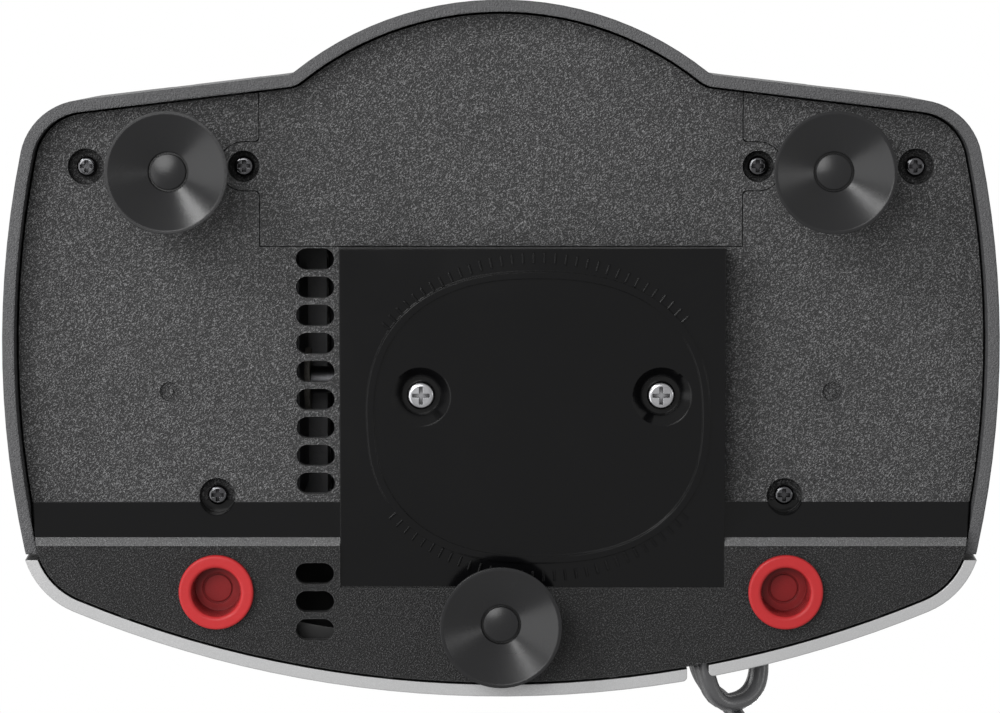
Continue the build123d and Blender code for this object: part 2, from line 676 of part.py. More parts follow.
# ================================================================ fasteners and feet
def cross(radius, z):
    """The cutter of a cross recess in a head whose top faces down at z."""
    reach = radius * CROSS_SHARE
    arm = block((-reach, reach), (-CROSS_W / 2, CROSS_W / 2), (z, z + CROSS_DEPTH))
    return arm + Rot(0, 0, 90) * arm


def screw(place, seat_z, head_r, head_h, shank_r, length):
    """A pan head screw driven upwards, its head's seat at a height."""
    x, y = place
    head = pillar(head_r, seat_z - head_h, seat_z)
    head = fillet(head.faces().sort_by(Axis.Z)[0].edges(), head_h * HEAD_ROUND)
    head -= cross(head_r, seat_z - head_h)
    return Pos(x, y, 0) * (head + pillar(shank_r, seat_z, seat_z + length))


def case_screw(place):
    return screw(place, REAR_Z + CASE_RECESS_DEPTH, CASE_HEAD_R, CASE_HEAD_H, CASE_SHANK_R, CASE_SCREW_LENGTH)


def suction_foot(place):
    """A rubber cup with a disc in its middle, a neck, a stem and a barb behind the plate."""
    seat, barb = FRONT_Z, FRONT_Z + WALL
    groove_w, groove_h = CUP_GROOVE
    middle, edge = (0, 0, CUP_HOLLOW_Z - CUP_DISC_DROP), (CUP_DISC_R, 0, CUP_HOLLOW_Z)
    disc = TangentArc(middle, edge, tangent=(1, 0, 0))
    rest = Polyline(
        edge,
        (CUP_DISC_R, 0, CUP_HOLLOW_Z + groove_h),
        (CUP_DISC_R + groove_w, 0, CUP_HOLLOW_Z + groove_h),
        (CUP_DISC_R + groove_w, 0, CUP_HOLLOW_Z),
        (CUP_R - CUP_LIP, 0, 0),
        (CUP_R, 0, 0),
        (CUP_R, 0, CUP_LIP),
        (CUP_NECK_R, 0, CUP_SHOULDER_Z),
        (CUP_NECK_R, 0, seat),
        (CUP_STEM_R, 0, seat),
        (CUP_STEM_R, 0, barb),
        (CUP_BARB_R, 0, barb),
        (CUP_TIP_R, 0, barb + CUP_BARB_H),
        (0, 0, barb + CUP_BARB_H),
        middle,
    )
    return Pos(*place, 0) * revolve(make_face([disc, rest]), Axis.Z)


def grit_plug():
    """A red cup of soft plastic that closes a chamber's drain from below."""
    flange_z = FRONT_Z - PLUG_FLANGE_T
    top = flange_z + PLUG_DEPTH + PLUG_WALL
    plug = pillar(PLUG_FLANGE_R, flange_z, FRONT_Z) + pillar(PLUG_R, flange_z, top)
    plug = fillet(plug.faces().sort_by(Axis.Z)[0].edges(), PLUG_FLANGE_T * HEAD_ROUND)
    for i in range(PLUG_STEPS):
        plug -= pillar(PLUG_BORE_R - i * PLUG_STEP, 0, flange_z + PLUG_DEPTH * (i + 1) / PLUG_STEPS)
    inner, outer, depth = PLUG_RING
    floor = flange_z + PLUG_DEPTH
    plug -= pillar(outer, floor, floor + depth) - pillar(inner, floor, floor + depth)
    plug = fillet(plug.faces().sort_by(Axis.Z)[0].inner_wires()[0].edges(), PLUG_MOUTH_R)
    return Pos(STAGE_X, PLUG_Y, 0) * plug


# ================================================================ motor
def stack_section():
    """The laminations: two legs, a leg across the top for the coil, and the rotor's bore."""
    half = STACK_W / 2
    return [
        (SHAFT_Y - half, SHAFT_Z - STACK_BOTTOM),
        (SHAFT_Y + half, SHAFT_Z - STACK_BOTTOM),
        (SHAFT_Y + half, SHAFT_Z + STACK_TOP),
        (SHAFT_Y - half, SHAFT_Z + STACK_TOP),
    ]


def bolt_places():
    off_y = STACK_W / 2 - BOLT_EDGE
    heights = (SHAFT_Z - STACK_BOTTOM + BOLT_EDGE, SHAFT_Z + WINDOW_Z[0] - BOLT_EDGE / 2)
    return [(SHAFT_Y + side * off_y, z) for side in (-1, 1) for z in heights]


def make_stator_stack():
    stack = along_x(stack_section(), *STACK_X) - axle(STACK_R, *STACK_X)
    window_y = (SHAFT_Y - WINDOW_W / 2, SHAFT_Y + WINDOW_W / 2)
    stack -= block(STACK_X, window_y, (SHAFT_Z + WINDOW_Z[0], SHAFT_Z + WINDOW_Z[1]))
    for y, z in bolt_places():
        stack -= axle(BOLT_R, *STACK_X, y, z)
    for y, z in shading_places():
        stack -= axle(SHADING_R, *STACK_X, y, z)
    return stack


def shading_places():
    """Where the copper rods that start the motor pass through the poles."""
    off = (STACK_R + SHADING_R + SHADING_WALL) * math.sqrt(0.5)
    return [(SHAFT_Y - off, SHAFT_Z + off), (SHAFT_Y + off, SHAFT_Z - off)]


def make_shading_rings():
    x0, x1 = STACK_X[0] - SHADING_PROUD, STACK_X[1] + SHADING_PROUD
    return [axle(SHADING_R, x0, x1, y, z) for y, z in shading_places()]


def coil_ring(grow, y0, y1, hole):
    """A ring round the coil leg, from the leg's surface outwards."""
    z0, z1 = SHAFT_Z + WINDOW_Z[1], SHAFT_Z + STACK_TOP
    outer = block((STACK_X[0] - grow, STACK_X[1] + grow), (y0, y1), (z0 - grow, z1 + grow))
    return outer - block((STACK_X[0] - hole, STACK_X[1] + hole), (y0, y1), (z0 - hole, z1 + hole))


def make_bobbin():
    y0, y1 = SHAFT_Y - WINDOW_W / 2 + PANEL_FIT, SHAFT_Y + WINDOW_W / 2 - PANEL_FIT
    bobbin = coil_ring(BOBBIN_WALL, y0, y1, 0)
    for edge in (y0, y1 - BOBBIN_WALL):
        bobbin += coil_ring(BOBBIN_WALL + WINDING, edge, edge + BOBBIN_WALL, 0)
    return bobbin


def make_winding():
    inset = PANEL_FIT + BOBBIN_WALL
    y0, y1 = SHAFT_Y - WINDOW_W / 2 + inset, SHAFT_Y + WINDOW_W / 2 - inset
    return coil_ring(BOBBIN_WALL + WINDING - PANEL_FIT, y0, y1, BOBBIN_WALL)


def bracket_x(side):
    """The two faces of a bearing bracket's plate, the one towards the stack first."""
    middle = MOTOR_X + side * MOTOR_SCREW_SPAN / 2
    return middle - side * BRACKET_T / 2, middle + side * BRACKET_T / 2


def make_bracket(side):
    near, far = bracket_x(side)
    x0, x1 = min(near, far), max(near, far)
    half = STACK_W / 2
    foot_top = BRACKET_FOOT_Z + BRACKET_FOOT_H
    top = SHAFT_Z + WINDOW_Z[0] + BOLT_EDGE / 2
    plate = block((x0, x1), (SHAFT_Y - half, SHAFT_Y + half), (foot_top, top))
    middle = (x0 + x1) / 2
    foot_y = (SHAFT_Y - FOOT_HALF[1], SHAFT_Y + FOOT_HALF[1])
    plate += block((middle - FOOT_HALF[0], middle + FOOT_HALF[0]), foot_y, (BRACKET_FOOT_Z, foot_top))
    face = STACK_X[1] if side > 0 else STACK_X[0]
    for y, z in bolt_places():
        plate += axle(STANDOFF_R, min(face, near), max(face, near), y, z)
        plate -= axle(BOLT_R, min(face, x0), max(face, x1), y, z)
    plate += axle(BEARING_R + BRACKET_T / 2, middle - BRACKET_RING_L / 2, middle + BRACKET_RING_L / 2)
    plate -= axle(BEARING_R, middle - BEARING_L, middle + BEARING_L)
    return plate - pillar(MOTOR_SCREW_R, 0, foot_top, middle, SHAFT_Y)


def make_bearing(side):
    middle = MOTOR_X + side * MOTOR_SCREW_SPAN / 2
    x0, x1 = middle - BEARING_L / 2, middle + BEARING_L / 2
    return axle(BEARING_R, x0, x1) - axle(SHAFT_R + RUN_GAP, x0, x1)


def make_bolts():
    """Four bolts through the brackets and the stack, each with a head and a nut."""
    x0, x1 = bracket_x(-1)[1], bracket_x(1)[1]
    bolts = []
    for y, z in bolt_places():
        head = axle(BOLT_HEAD_R, x1, x1 + BOLT_R, y, z)
        nut = Pos(x0 - BOLT_R, y, z) * Rot(0, 90, 0) * extrude(RegularPolygon(NUT_R, 6), BOLT_R)
        bolts.append(axle(BOLT_R, x0, x1, y, z) + head + nut)
    return bolts


# ================================================================ rotor and wheels
def make_shaft():
    shaft = axle(SHAFT_R, -SHAFT_HALF, SHAFT_HALF)
    flat_from = STAGE_X - WHEEL_OUTER - WHEEL_INNER
    for side in (-1, 1):
        x = sorted((side * flat_from, side * (SHAFT_HALF + 1)))
        shaft -= block(x, (SHAFT_Y - SHAFT_R, SHAFT_Y + SHAFT_R), (SHAFT_Z + SHAFT_FLAT, SHAFT_Z + SHAFT_R))
    for x0, x1 in clip_places():
        shaft -= axle(SHAFT_R, x0, x1) - axle(SHAFT_FLAT, x0, x1)
    return shaft


def clip_places():
    """The groove of each E-clip, outside the wheels of each stage."""
    off = WHEEL_OUTER + RUN_GAP
    places = []
    for stage in (-STAGE_X, STAGE_X):
        for side in (-1, 1):
            places.append(tuple(sorted((stage + side * off, stage + side * (off + CLIP_T)))))
    return places


def make_clips():
    clips = []
    for x0, x1 in clip_places():
        clip = axle(CLIP_R, x0, x1) - axle(SHAFT_FLAT, x0, x1)
        mouth = block((x0, x1), (SHAFT_Y - SHAFT_FLAT, SHAFT_Y + SHAFT_FLAT), (SHAFT_Z - CLIP_R, SHAFT_Z))
        clips.append(clip - mouth)
    return clips


def make_rotor_core():
    core = axle(STACK_R - ROTOR_GAP, *STACK_X) - axle(SHAFT_R, *STACK_X)
    for i in range(ROTOR_SLOTS):
        a = 2 * math.pi * i / ROTOR_SLOTS
        r = STACK_R - ROTOR_GAP - SHADING_R
        core -= axle(SHADING_R / 2, *STACK_X, SHAFT_Y + r * math.cos(a), SHAFT_Z + r * math.sin(a))
    return core


def make_fan():
    x0, x1 = FAN_X
    fan = axle(FAN_HUB_R, x0, x1) + axle(FAN_R, x1 - FAN_T, x1)
    for i in range(FAN_BLADES):
        blade = Pos(x0, 0, 0) * Box(
            x1 - x0, FAN_R - FAN_HUB_R / 2, FAN_T, align=(Align.MIN, Align.MIN, Align.CENTER)
        )
        turned = Rot(360 * i / FAN_BLADES, 0, 0) * Pos(0, FAN_HUB_R / 2, 0) * blade
        fan += Pos(0, SHAFT_Y, SHAFT_Z) * turned
    fan &= axle(FAN_R, x0, x1)
    return fan - axle(SHAFT_R, x0, x1)


def make_wheel(stage, side):
    """A grinding disc with a steel-backed hub and a D bore, on one side of a stage's middle."""
    x0, x1 = sorted((stage + side * WHEEL_INNER, stage + side * WHEEL_OUTER))
    bevel = (WHEEL_OUTER - WHEEL_INNER) * math.tan(math.radians(SLOT_DEG)) / 2
    disc = axle(WHEEL_R, x0, x1)
    outer = disc.faces().sort_by(Axis.X)[-1 if side > 0 else 0]
    disc = chamfer(outer.edges(), bevel)
    bore = axle(SHAFT_R + RUN_GAP, x0, x1)
    flat = SHAFT_Z + SHAFT_FLAT + RUN_GAP
    bore -= block((x0, x1), (SHAFT_Y - WHEEL_R, SHAFT_Y + WHEEL_R), (flat, flat + WHEEL_R))
    return disc - bore


def make_wheel_spring(stage):
    """The coil spring that holds the two discs of a stage apart."""
    reach = WHEEL_INNER - SPRING_WIRE / 2 - SPRING_END
    path = Helix(pitch=2 * reach / SPRING_TURNS, height=2 * reach, radius=SPRING_R)
    start = path @ 0
    heading = path % 0
    coil = sweep(Plane(start, z_dir=heading) * Circle(SPRING_WIRE / 2), path=path)
    return Pos(stage - reach, SHAFT_Y, SHAFT_Z) * Rot(0, 90, 0) * coil


# ================================================================ guides and grit chambers
def slot_cutter(side):
    """One slanted slot of a guide, leaning away from the middle as it rises."""
    rise = CROWN_Z - SLOT_FLOOR_Z
    shift = rise * math.tan(math.radians(SLOT_DEG))
    foot, width = SLOT_FOOT_X, SLOT_W
    points = [(foot, SLOT_FLOOR_Z), (foot + width, SLOT_FLOOR_Z)]
    points += [(foot + width + shift, CROWN_Z), (foot + shift, CROWN_Z)]
    return Pos(STAGE_X, 0, 0) * along_y([(side * x, z) for x, z in points], 2 * FRONT_Y, 2 * REAR_Y)


def make_guide(form):
    guide = form & guide_space()
    for side in (-1, 1):
        guide -= slot_cutter(side)
    room = WHEEL_R + GUIDE_ROOM
    half = WHEEL_OUTER + CLIP_T + 2 * FIT
    guide -= axle(room, STAGE_X - half, STAGE_X + half)
    return guide - block((STAGE_X - half, STAGE_X + half), (SHAFT_Y - room, SHAFT_Y + room), (0, SHAFT_Z))


def chute_profile(back_y):
    """Section of the chute, open downwards, from the drain back to a place in the chamber."""
    low = FRONT_Z - WALL
    points = [
        (back_y, CHAMBER_Z),
        (CHUTE_HEEL_Y, CHAMBER_Z),
        (CHUTE_KNEE_Y, FRONT_Z + WALL),
        (CHUTE_KNEE_Y, low),
        (CHUTE_Y, low),
        (CHUTE_Y, CHUTE_TOP),
        (CHUTE_BEND_Y, CHUTE_TOP),
        (CHAMBER_Y[0], CHUTE_BACK_Z),
        (back_y, CHUTE_BACK_Z),
    ]
    return make_face(Polyline(*[(0, y, z) for y, z in points], close=True))


def make_chamber():
    """An open trough round a stage's wheels, with a chute down to the drain."""
    wall = CHAMBER_WALL
    x0, x1 = STAGE_X - CHAMBER_HALF, STAGE_X + CHAMBER_HALF
    y0, y1 = CHAMBER_Y
    rim = SLOT_FLOOR_Z - GUIDE_FLOOR_T
    chamber = block((x0, x1), (y0, y1), (CHAMBER_Z, rim))
    for side_x in ((x0, x0 + wall), (x1 - wall, x1)):
        chamber += block(side_x, (y0, y1), (rim, GUIDE_LEDGE_Z))
    chamber -= block((x0 + wall, x1 - wall), (y0 + wall, y1 - wall), (CHAMBER_Z + wall, CROWN_Z))
    c0, c1 = STAGE_X - CHUTE_HALF, STAGE_X + CHUTE_HALF
    chute = Pos(c0, 0, 0) * extrude(chute_profile(y0 + wall), c1 - c0, dir=(1, 0, 0))
    hollow = offset(chute_profile(y0 + 4 * wall), -wall, kind=Kind.INTERSECTION)
    hollow = Pos(c0 + wall, 0, 0) * extrude(hollow, c1 - c0 - 2 * wall, dir=(1, 0, 0))
    chamber = chamber + chute - hollow - block((c0, c1), (CHUTE_Y, y0), (0, FRONT_Z + WALL))
    screw_x, screw_y = CASE_SCREW_FRONT
    chamber += pillar(SCREW_POST_R, CHAMBER_Z, CHAMBER_Z + CASE_SCREW_LENGTH, screw_x, screw_y)
    chamber -= pillar(CASE_SHANK_R, 0, CHAMBER_Z + CASE_SCREW_LENGTH - wall, screw_x, screw_y)
    return chamber - axle(SEAL_R, x0, x0 + wall)


def make_shaft_seal():
    x0 = STAGE_X - CHAMBER_HALF
    seal = axle(SEAL_R, x0, x0 + CHAMBER_WALL) + axle(SEAL_R + SEAL_LIP, x0 - SEAL_FLANGE, x0)
    return seal - axle(SHAFT_R + RUN_GAP, x0 - SEAL_FLANGE, x0 + CHAMBER_WALL)


# ================================================================ switch
def make_bezel():
    bezel = in_face(BEZEL[:2], -BEZEL_SEAT, BEZEL[2] - BEZEL_SEAT)
    return bezel - in_face(ROCKER_OPENING, -BEZEL[2], BEZEL[2])


def make_switch_body():
    low = -BEZEL_SEAT - SWITCH_BODY[2]
    body = in_face(SWITCH_BODY[:2], low, -BEZEL_SEAT)
    body -= in_face(ROCKER_OPENING, -ROCKER_DEPTH - ROCKER_ROOM, BEZEL[2])
    half = ROCKER[0] / 2 + PIN_L + FIT
    hole = Cylinder(PIN_R + RUN_GAP, 2 * half, rotation=(0, 90, 0))
    return body - switch_plane() * Pos(0, 0, ROCKER_PIVOT) * hole


def make_rocker():
    """The rocker in its off position, tipped to one side about its pins."""
    half, top, low = ROCKER[1] / 2, ROCKER_PROUD, -ROCKER_DEPTH
    points = [(-half, low), (half, low), (half, top), (0, top - ROCKER_SAG), (-half, top)]
    face = make_face(Polyline(*[(0, u, w - ROCKER_PIVOT) for u, w in points], close=True))
    rocker = Pos(-ROCKER[0] / 2, 0, 0) * extrude(face, ROCKER[0], dir=(1, 0, 0))
    rocker += Cylinder(PIN_R, ROCKER[0] + 2 * PIN_L, rotation=(0, 90, 0))
    return switch_plane() * Pos(0, 0, ROCKER_PIVOT) * Rot(-ROCKER_DEG, 0, 0) * rocker


def make_terminals():
    low = -BEZEL_SEAT - SWITCH_BODY[2]
    blade = Box(TERMINAL[0], TERMINAL[1], TERMINAL[2], align=(Align.CENTER, Align.CENTER, Align.MAX))
    return [switch_plane() * Pos(side * TERMINAL_X, 0, low) * blade for side in (-1, 1)]


# ================================================================ cord and leads
def tube(points, radius, bend_r):
    """A round bar along straight runs with one bend radius."""
    path = FilletPolyline(*points, radius=bend_r)
    return sweep(Plane(path @ 0, z_dir=path % 0) * Circle(radius), path=path)


def bend_radii(points):
    """The radius of each bend from the shorter of its two runs and its turn."""
    radii = []
    for a, b, c in zip(points, points[1:], points[2:]):
        before, after = Vector(*b) - Vector(*a), Vector(*c) - Vector(*b)
        turn = math.radians(before.get_angle(after))
        radii.append(BEND_SHARE * min(before.length, after.length) / math.tan(turn / 2))
    return radii


def make_cord():
    """The cord along its route: straight runs and an arc tangent to them at every point."""
    corners = [Vector(*point) for point in ROUTE]
    edges, at = [], corners[0]
    for a, b, c in zip(corners, corners[1:], corners[2:]):
        reach = BEND_SHARE * min((b - a).length, (c - b).length)
        start, end = b - (b - a).normalized() * reach, b + (c - b).normalized() * reach
        edges.append(Line(at, start))
        edges.append(TangentArc(start, end, tangent=(b - a)))
        at = end
    edges.append(Line(at, corners[-1]))
    path = Wire(edges)
    length = path.length
    radii = [round(radius, 1) for radius in bend_radii(ROUTE)]
    print("cord radii", radii, "tube", round(length, 1), "turn", round(2 * math.pi * COIL_R, 1))
    return sweep(Plane(corners[0], z_dir=corners[1] - corners[0]) * Circle(CORD_R), path=path)


def bundle_section(grow=0.0):
    """Section of the put-away bundle, grown by a thickness."""
    width, height = COIL_SECTION
    return RectangleRounded(width + 2 * grow, height + 2 * grow, COIL_ROUND + grow)


def make_coil():
    """The put-away bundle as one ring, with the cord's straight end beside it."""
    section = Plane.XZ * Pos(COIL_R, 0, 0) * bundle_section()
    ring = Pos(*COIL_AT, COIL_Z) * revolve(section, Axis.Z)
    start, end = Vector(COIL_AT[0], TAIL_Y, COIL_Z), Vector(PLUG_BOOT_X + PLUG_SINK, TAIL_Y, PLUG_BOOT_Z)
    tail = Plane(start, z_dir=end - start) * pillar(CORD_R, 0, (end - start).length)
    return ring + tail


def make_tie():
    """A strap round the bundle, at the side towards the plug."""
    strap = extrude(Plane.XZ * bundle_section(TIE_T), TIE_W / 2, both=True)
    return Pos(COIL_AT[0] + COIL_R, COIL_AT[1], COIL_Z) * strap - make_coil()


def make_plug():
    narrow, wide = PLUG_BOOT_R
    boot = Pos(PLUG_BOOT_X, TAIL_Y, PLUG_BOOT_Z) * Rot(0, 90, 0) * Cone(
        narrow, wide, PLUG_BOOT_L, align=(Align.CENTER, Align.CENTER, Align.MIN)
    )
    half = PLUG_BODY[1] / 2
    body = block((PLUG_X, PLUG_X + PLUG_BODY[0]), (TAIL_Y - half, TAIL_Y + half), (0, PLUG_BODY[2]))
    body = fillet(body.edges().filter_by(Axis.X), PLUG_BODY[2] / 4)
    body = chamfer(body.faces().sort_by(Axis.X)[0].edges(), PLUG_BODY[2] / 8)
    return body + boot


def make_blades():
    x = PLUG_X + PLUG_BODY[0]
    hole_r, from_tip = BLADE_HOLE
    z = (PLUG_BODY[2] - BLADE[2]) / 2
    blades = []
    for side in (-1, 1):
        y = TAIL_Y + side * BLADE_SPAN / 2
        blade = block((x, x + BLADE[0]), (y - BLADE[1] / 2, y + BLADE[1] / 2), (z, z + BLADE[2]))
        hole = Rot(90, 0, 0) * Cylinder(hole_r, 2 * BLADE[1])
        blades.append(blade - Pos(x + BLADE[0] - from_tip, y, PLUG_BODY[2] / 2) * hole)
    return blades


def make_sleeve():
    """A rubber sleeve on the cord, lying on the base plate."""
    length = SLEEVE_Y[1] - SLEEVE_Y[0]
    ring = Cylinder(CORD_Z - FRONT_Z - WALL, length) - Cylinder(CORD_R, length)
    return Pos(CORD_X, sum(SLEEVE_Y) / 2, CORD_Z) * Rot(90, 0, 0) * ring


def clamp_xs():
    return [CORD_X - CLAMP_SPAN / 2, CORD_X + CLAMP_SPAN / 2]


def clamp_top():
    return 2 * CORD_Z - FRONT_Z - WALL + CLAMP_T


def make_clamp():
    """A bar over the sleeve, screwed to the two posts of the base plate."""
    half = CLAMP_SPAN / 2 + CLAMP_POST_R
    y = (CLAMP_Y - CLAMP_HALF_Y, CLAMP_Y + CLAMP_HALF_Y)
    bar = block((CORD_X - half, CORD_X + half), y, (CORD_Z + CLAMP_RISE, clamp_top()))
    bar -= Pos(CORD_X, CLAMP_Y, CORD_Z) * Rot(90, 0, 0) * Cylinder(CORD_Z - FRONT_Z - WALL, 4 * CLAMP_HALF_Y)
    for x in clamp_xs():
        bar -= pillar(CLAMP_SCREW_R + SCREW_HOLE_GAP, 0, CROWN_Z, x, CLAMP_Y)
    return bar


def make_clamp_screws():
    screws = []
    for x in clamp_xs():
        head = pillar(CLAMP_HEAD[0], clamp_top(), clamp_top() + CLAMP_HEAD[1], x, CLAMP_Y)
        screws.append(head + pillar(CLAMP_SCREW_R, FRONT_Z + WALL, clamp_top(), x, CLAMP_Y))
    return screws


def terminal_end(x):
    """The free end of a switch terminal, and the way out of it."""
    plane = switch_plane()
    depth = BEZEL_SEAT + SWITCH_BODY[2] + TERMINAL[2]
    return Vector(x, 0, 0) + plane.origin - plane.z_dir * depth, -plane.z_dir


def make_line_lead():
    end, out = terminal_end(-TERMINAL_X)
    start = (CORD_X + LEAD_SPLIT, ROUTE[0][1], CORD_Z)
    return tube([start, *LINE_VIA, end + out * LEAD_STUB, end], LEAD_R, LEAD_BEND_R)


def make_neutral_lead():
    start, x = (CORD_X - LEAD_SPLIT, ROUTE[0][1], CORD_Z), CONNECTOR_X[0]
    points = [start, *NEUTRAL_VIA, (x, LEAD_RISE_Y, CONNECTOR_Z), (x, connector_face(), CONNECTOR_Z)]
    return tube(points, LEAD_R, LEAD_BEND_R)


def make_switch_lead():
    end, out = terminal_end(TERMINAL_X)
    x = CONNECTOR_X[1]
    points = [end, end + out * LEAD_STUB, SWITCH_VIA, (x, LEAD_RISE_Y, CONNECTOR_Z)]
    return tube([*points, (x, connector_face(), CONNECTOR_Z)], LEAD_R, LEAD_BEND_R)


def connector_face():
    """Front face of the wire connectors on the bobbin's flange."""
    return SHAFT_Y - WINDOW_W / 2 + PANEL_FIT - CONNECTOR[1]


def make_connectors():
    half_x, half_z = CONNECTOR[0] / 2, CONNECTOR[2] / 2
    y = (connector_face(), connector_face() + CONNECTOR[1])
    z = (CONNECTOR_Z - half_z, CONNECTOR_Z + half_z)
    return [block((x - half_x, x + half_x), y, z) for x in CONNECTOR_X]


# ================================================================ the nodes
def main():
    os.makedirs("parts", exist_ok=True)
    form, inner = body_form(), body_form(WALL)
    shell = form - inner
    write(make_rear_housing(shell, inner), "rear_housing")
    write(make_front_panel(shell), "front_panel")
    write(make_badge(), "crown_badge")
    write(make_base_plate(), "base_plate")
    write(make_access_panel(), "rear_access_panel")
    guide, chamber, seal = make_guide(form), make_chamber(), make_shaft_seal()
    plug, cup = grit_plug(), REAR_FOOT
    write(mirror(guide, Plane.YZ), "stage_1_blade_guide")
    write(guide, "stage_2_blade_guide")
    write(mirror(chamber, Plane.YZ), "left_grit_chamber")
    write(chamber, "right_grit_chamber")
    write(mirror(seal, Plane.YZ), "left_shaft_seal")
    write(seal, "right_shaft_seal")
    write(mirror(plug, Plane.YZ), "left_grit_plug")
    write(plug, "right_grit_plug")
    write(suction_foot(FRONT_FOOT), "front_suction_foot")
    write(suction_foot((-cup[0], cup[1])), "rear_left_suction_foot")
    write(suction_foot(cup), "rear_right_suction_foot")
    write(both_sides(case_screw(CASE_SCREW_REAR) + case_screw(CASE_SCREW_FRONT)), "case_screws")
    write(both_sides(case_screw(PANEL_SCREW)), "panel_screws")
    length = BRACKET_FOOT_Z + BRACKET_FOOT_H - MOTOR_SEAT_Z
    seat = (MOTOR_SEAT_Z, MOTOR_HEAD_R, MOTOR_HEAD_H, MOTOR_SCREW_R, length)
    write(Compound([screw(place, *seat) for place in motor_screw_places()]), "motor_screws")
    grommet_z = (MOTOR_SEAT_Z + WALL, BRACKET_FOOT_Z)
    grommets = [pillar(GROMMET_R, *grommet_z, x, y) - pillar(MOTOR_SCREW_R, *grommet_z, x, y)
                for x, y in motor_screw_places()]
    write(Compound(grommets), "motor_grommets")
    write(make_stator_stack(), "stator_stack")
    write(make_bobbin(), "coil_bobbin")
    write(make_winding(), "coil_winding")
    write(Compound(make_shading_rings()), "shading_rings")
    for side, name in ((-1, "left"), (1, "right")):
        write(make_bracket(side), f"{name}_bearing_bracket")
        write(make_bearing(side), f"{name}_bearing")
    write(Compound(make_bolts()), "stack_bolts")
    write(make_shaft(), "motor_shaft")
    write(make_rotor_core(), "rotor_core")
    write(make_fan(), "cooling_fan")
    write(Compound(make_clips()), "shaft_clips")
    for stage, side, number in ((-STAGE_X, -1, 1), (STAGE_X, 1, 2)):
        write(make_wheel(stage, side), f"stage_{number}_outer_wheel")
        write(make_wheel(stage, -side), f"stage_{number}_inner_wheel")
        write(make_wheel_spring(stage), f"stage_{number}_wheel_spring")
    write(make_bezel(), "switch_bezel")
    write(make_switch_body(), "switch_body")
    write(make_rocker(), "power_rocker")
    write(Compound(make_terminals()), "switch_terminals")
    write(make_cord(), "power_cord")
    write(make_coil(), "cord_coil")
    write(make_tie(), "cord_tie")
    write(make_plug(), "cord_plug")
    write(Compound(make_blades()), "plug_blades")
    write(make_sleeve(), "strain_relief")
    write(make_clamp(), "cord_clamp")
    write(Compound(make_clamp_screws()), "clamp_screws")
    write(make_line_lead(), "line_lead")
    write(make_neutral_lead(), "neutral_lead")
    write(make_switch_lead(), "switch_lead")
    write(Compound(make_connectors()), "wire_connectors")


main()
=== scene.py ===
import math

import bmesh
import bpy
from bpy.props import FloatProperty, FloatVectorProperty, PointerProperty
from mathutils import Matrix, Vector
from mathutils.bvhtree import BVHTree


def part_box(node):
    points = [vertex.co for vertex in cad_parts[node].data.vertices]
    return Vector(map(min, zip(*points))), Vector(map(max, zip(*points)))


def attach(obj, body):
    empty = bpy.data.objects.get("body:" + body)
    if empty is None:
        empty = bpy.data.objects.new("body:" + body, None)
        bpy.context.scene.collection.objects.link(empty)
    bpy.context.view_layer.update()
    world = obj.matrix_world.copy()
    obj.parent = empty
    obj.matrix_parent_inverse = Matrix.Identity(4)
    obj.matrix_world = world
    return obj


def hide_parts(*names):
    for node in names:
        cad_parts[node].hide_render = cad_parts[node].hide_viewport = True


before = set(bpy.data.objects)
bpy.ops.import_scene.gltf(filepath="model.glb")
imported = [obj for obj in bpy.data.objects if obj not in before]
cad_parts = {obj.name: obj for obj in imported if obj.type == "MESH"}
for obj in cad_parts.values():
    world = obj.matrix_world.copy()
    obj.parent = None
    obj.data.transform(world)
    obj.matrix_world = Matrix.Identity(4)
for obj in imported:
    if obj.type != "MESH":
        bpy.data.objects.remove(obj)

bl_info = {
    "name": "Electric knife sharpener",
    "version": (1, 0, 0),
    "blender": (4, 5, 0),
    "location": "3D View > Sidebar > Sharpener",
    "description": "Dresses a two-stage electric knife sharpener and sets up its studio",
    "category": "Object",
}

CASE_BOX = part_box("rear_housing")
PANEL_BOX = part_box("front_panel")
PANEL_CENTRE = (0.0, PANEL_BOX[1].y, PANEL_BOX[0].z + 0.003)  # seen from here its inner faces look back
BASE_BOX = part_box("base_plate")

# ---------------------------------------------------------------- studio, in metres
SENSOR = 36.0  # width of the camera's sensor, in millimetres
CAMERA_SPAN = 0.2117  # width that the camera sees at its target
CAMERA_TARGET = Vector((0.0002, -0.0014, 0.0120))
CAMERA_CLIP = (0.01, 50.0)
FLOOR_HALF = 2.0
FLOOR_STEPS = 8
FLOOR_Z = -0.0002  # just under the feet
LAMPS_BELOW = [  # name, place, share of the key light below, width
    ("key_below", (0.29, 0.31, -0.97), 1.0, 0.60),
    ("edge_below", (0.60, 0.62, -0.56), 0.62, 0.30),
    ("side_below", (-0.88, 0.05, -0.48), 0.10, 0.30),
    ("fill_below", (0.86, -0.16, -0.55), 0.85, 1.00),
]
LAMPS_ABOVE = [  # name, place, share of the key light above, width
    ("key_above", (-0.55, -0.75, 1.0), 1.0, 0.5),
    ("fill_above", (0.8, 0.3, 0.7), 0.35, 0.6),
]

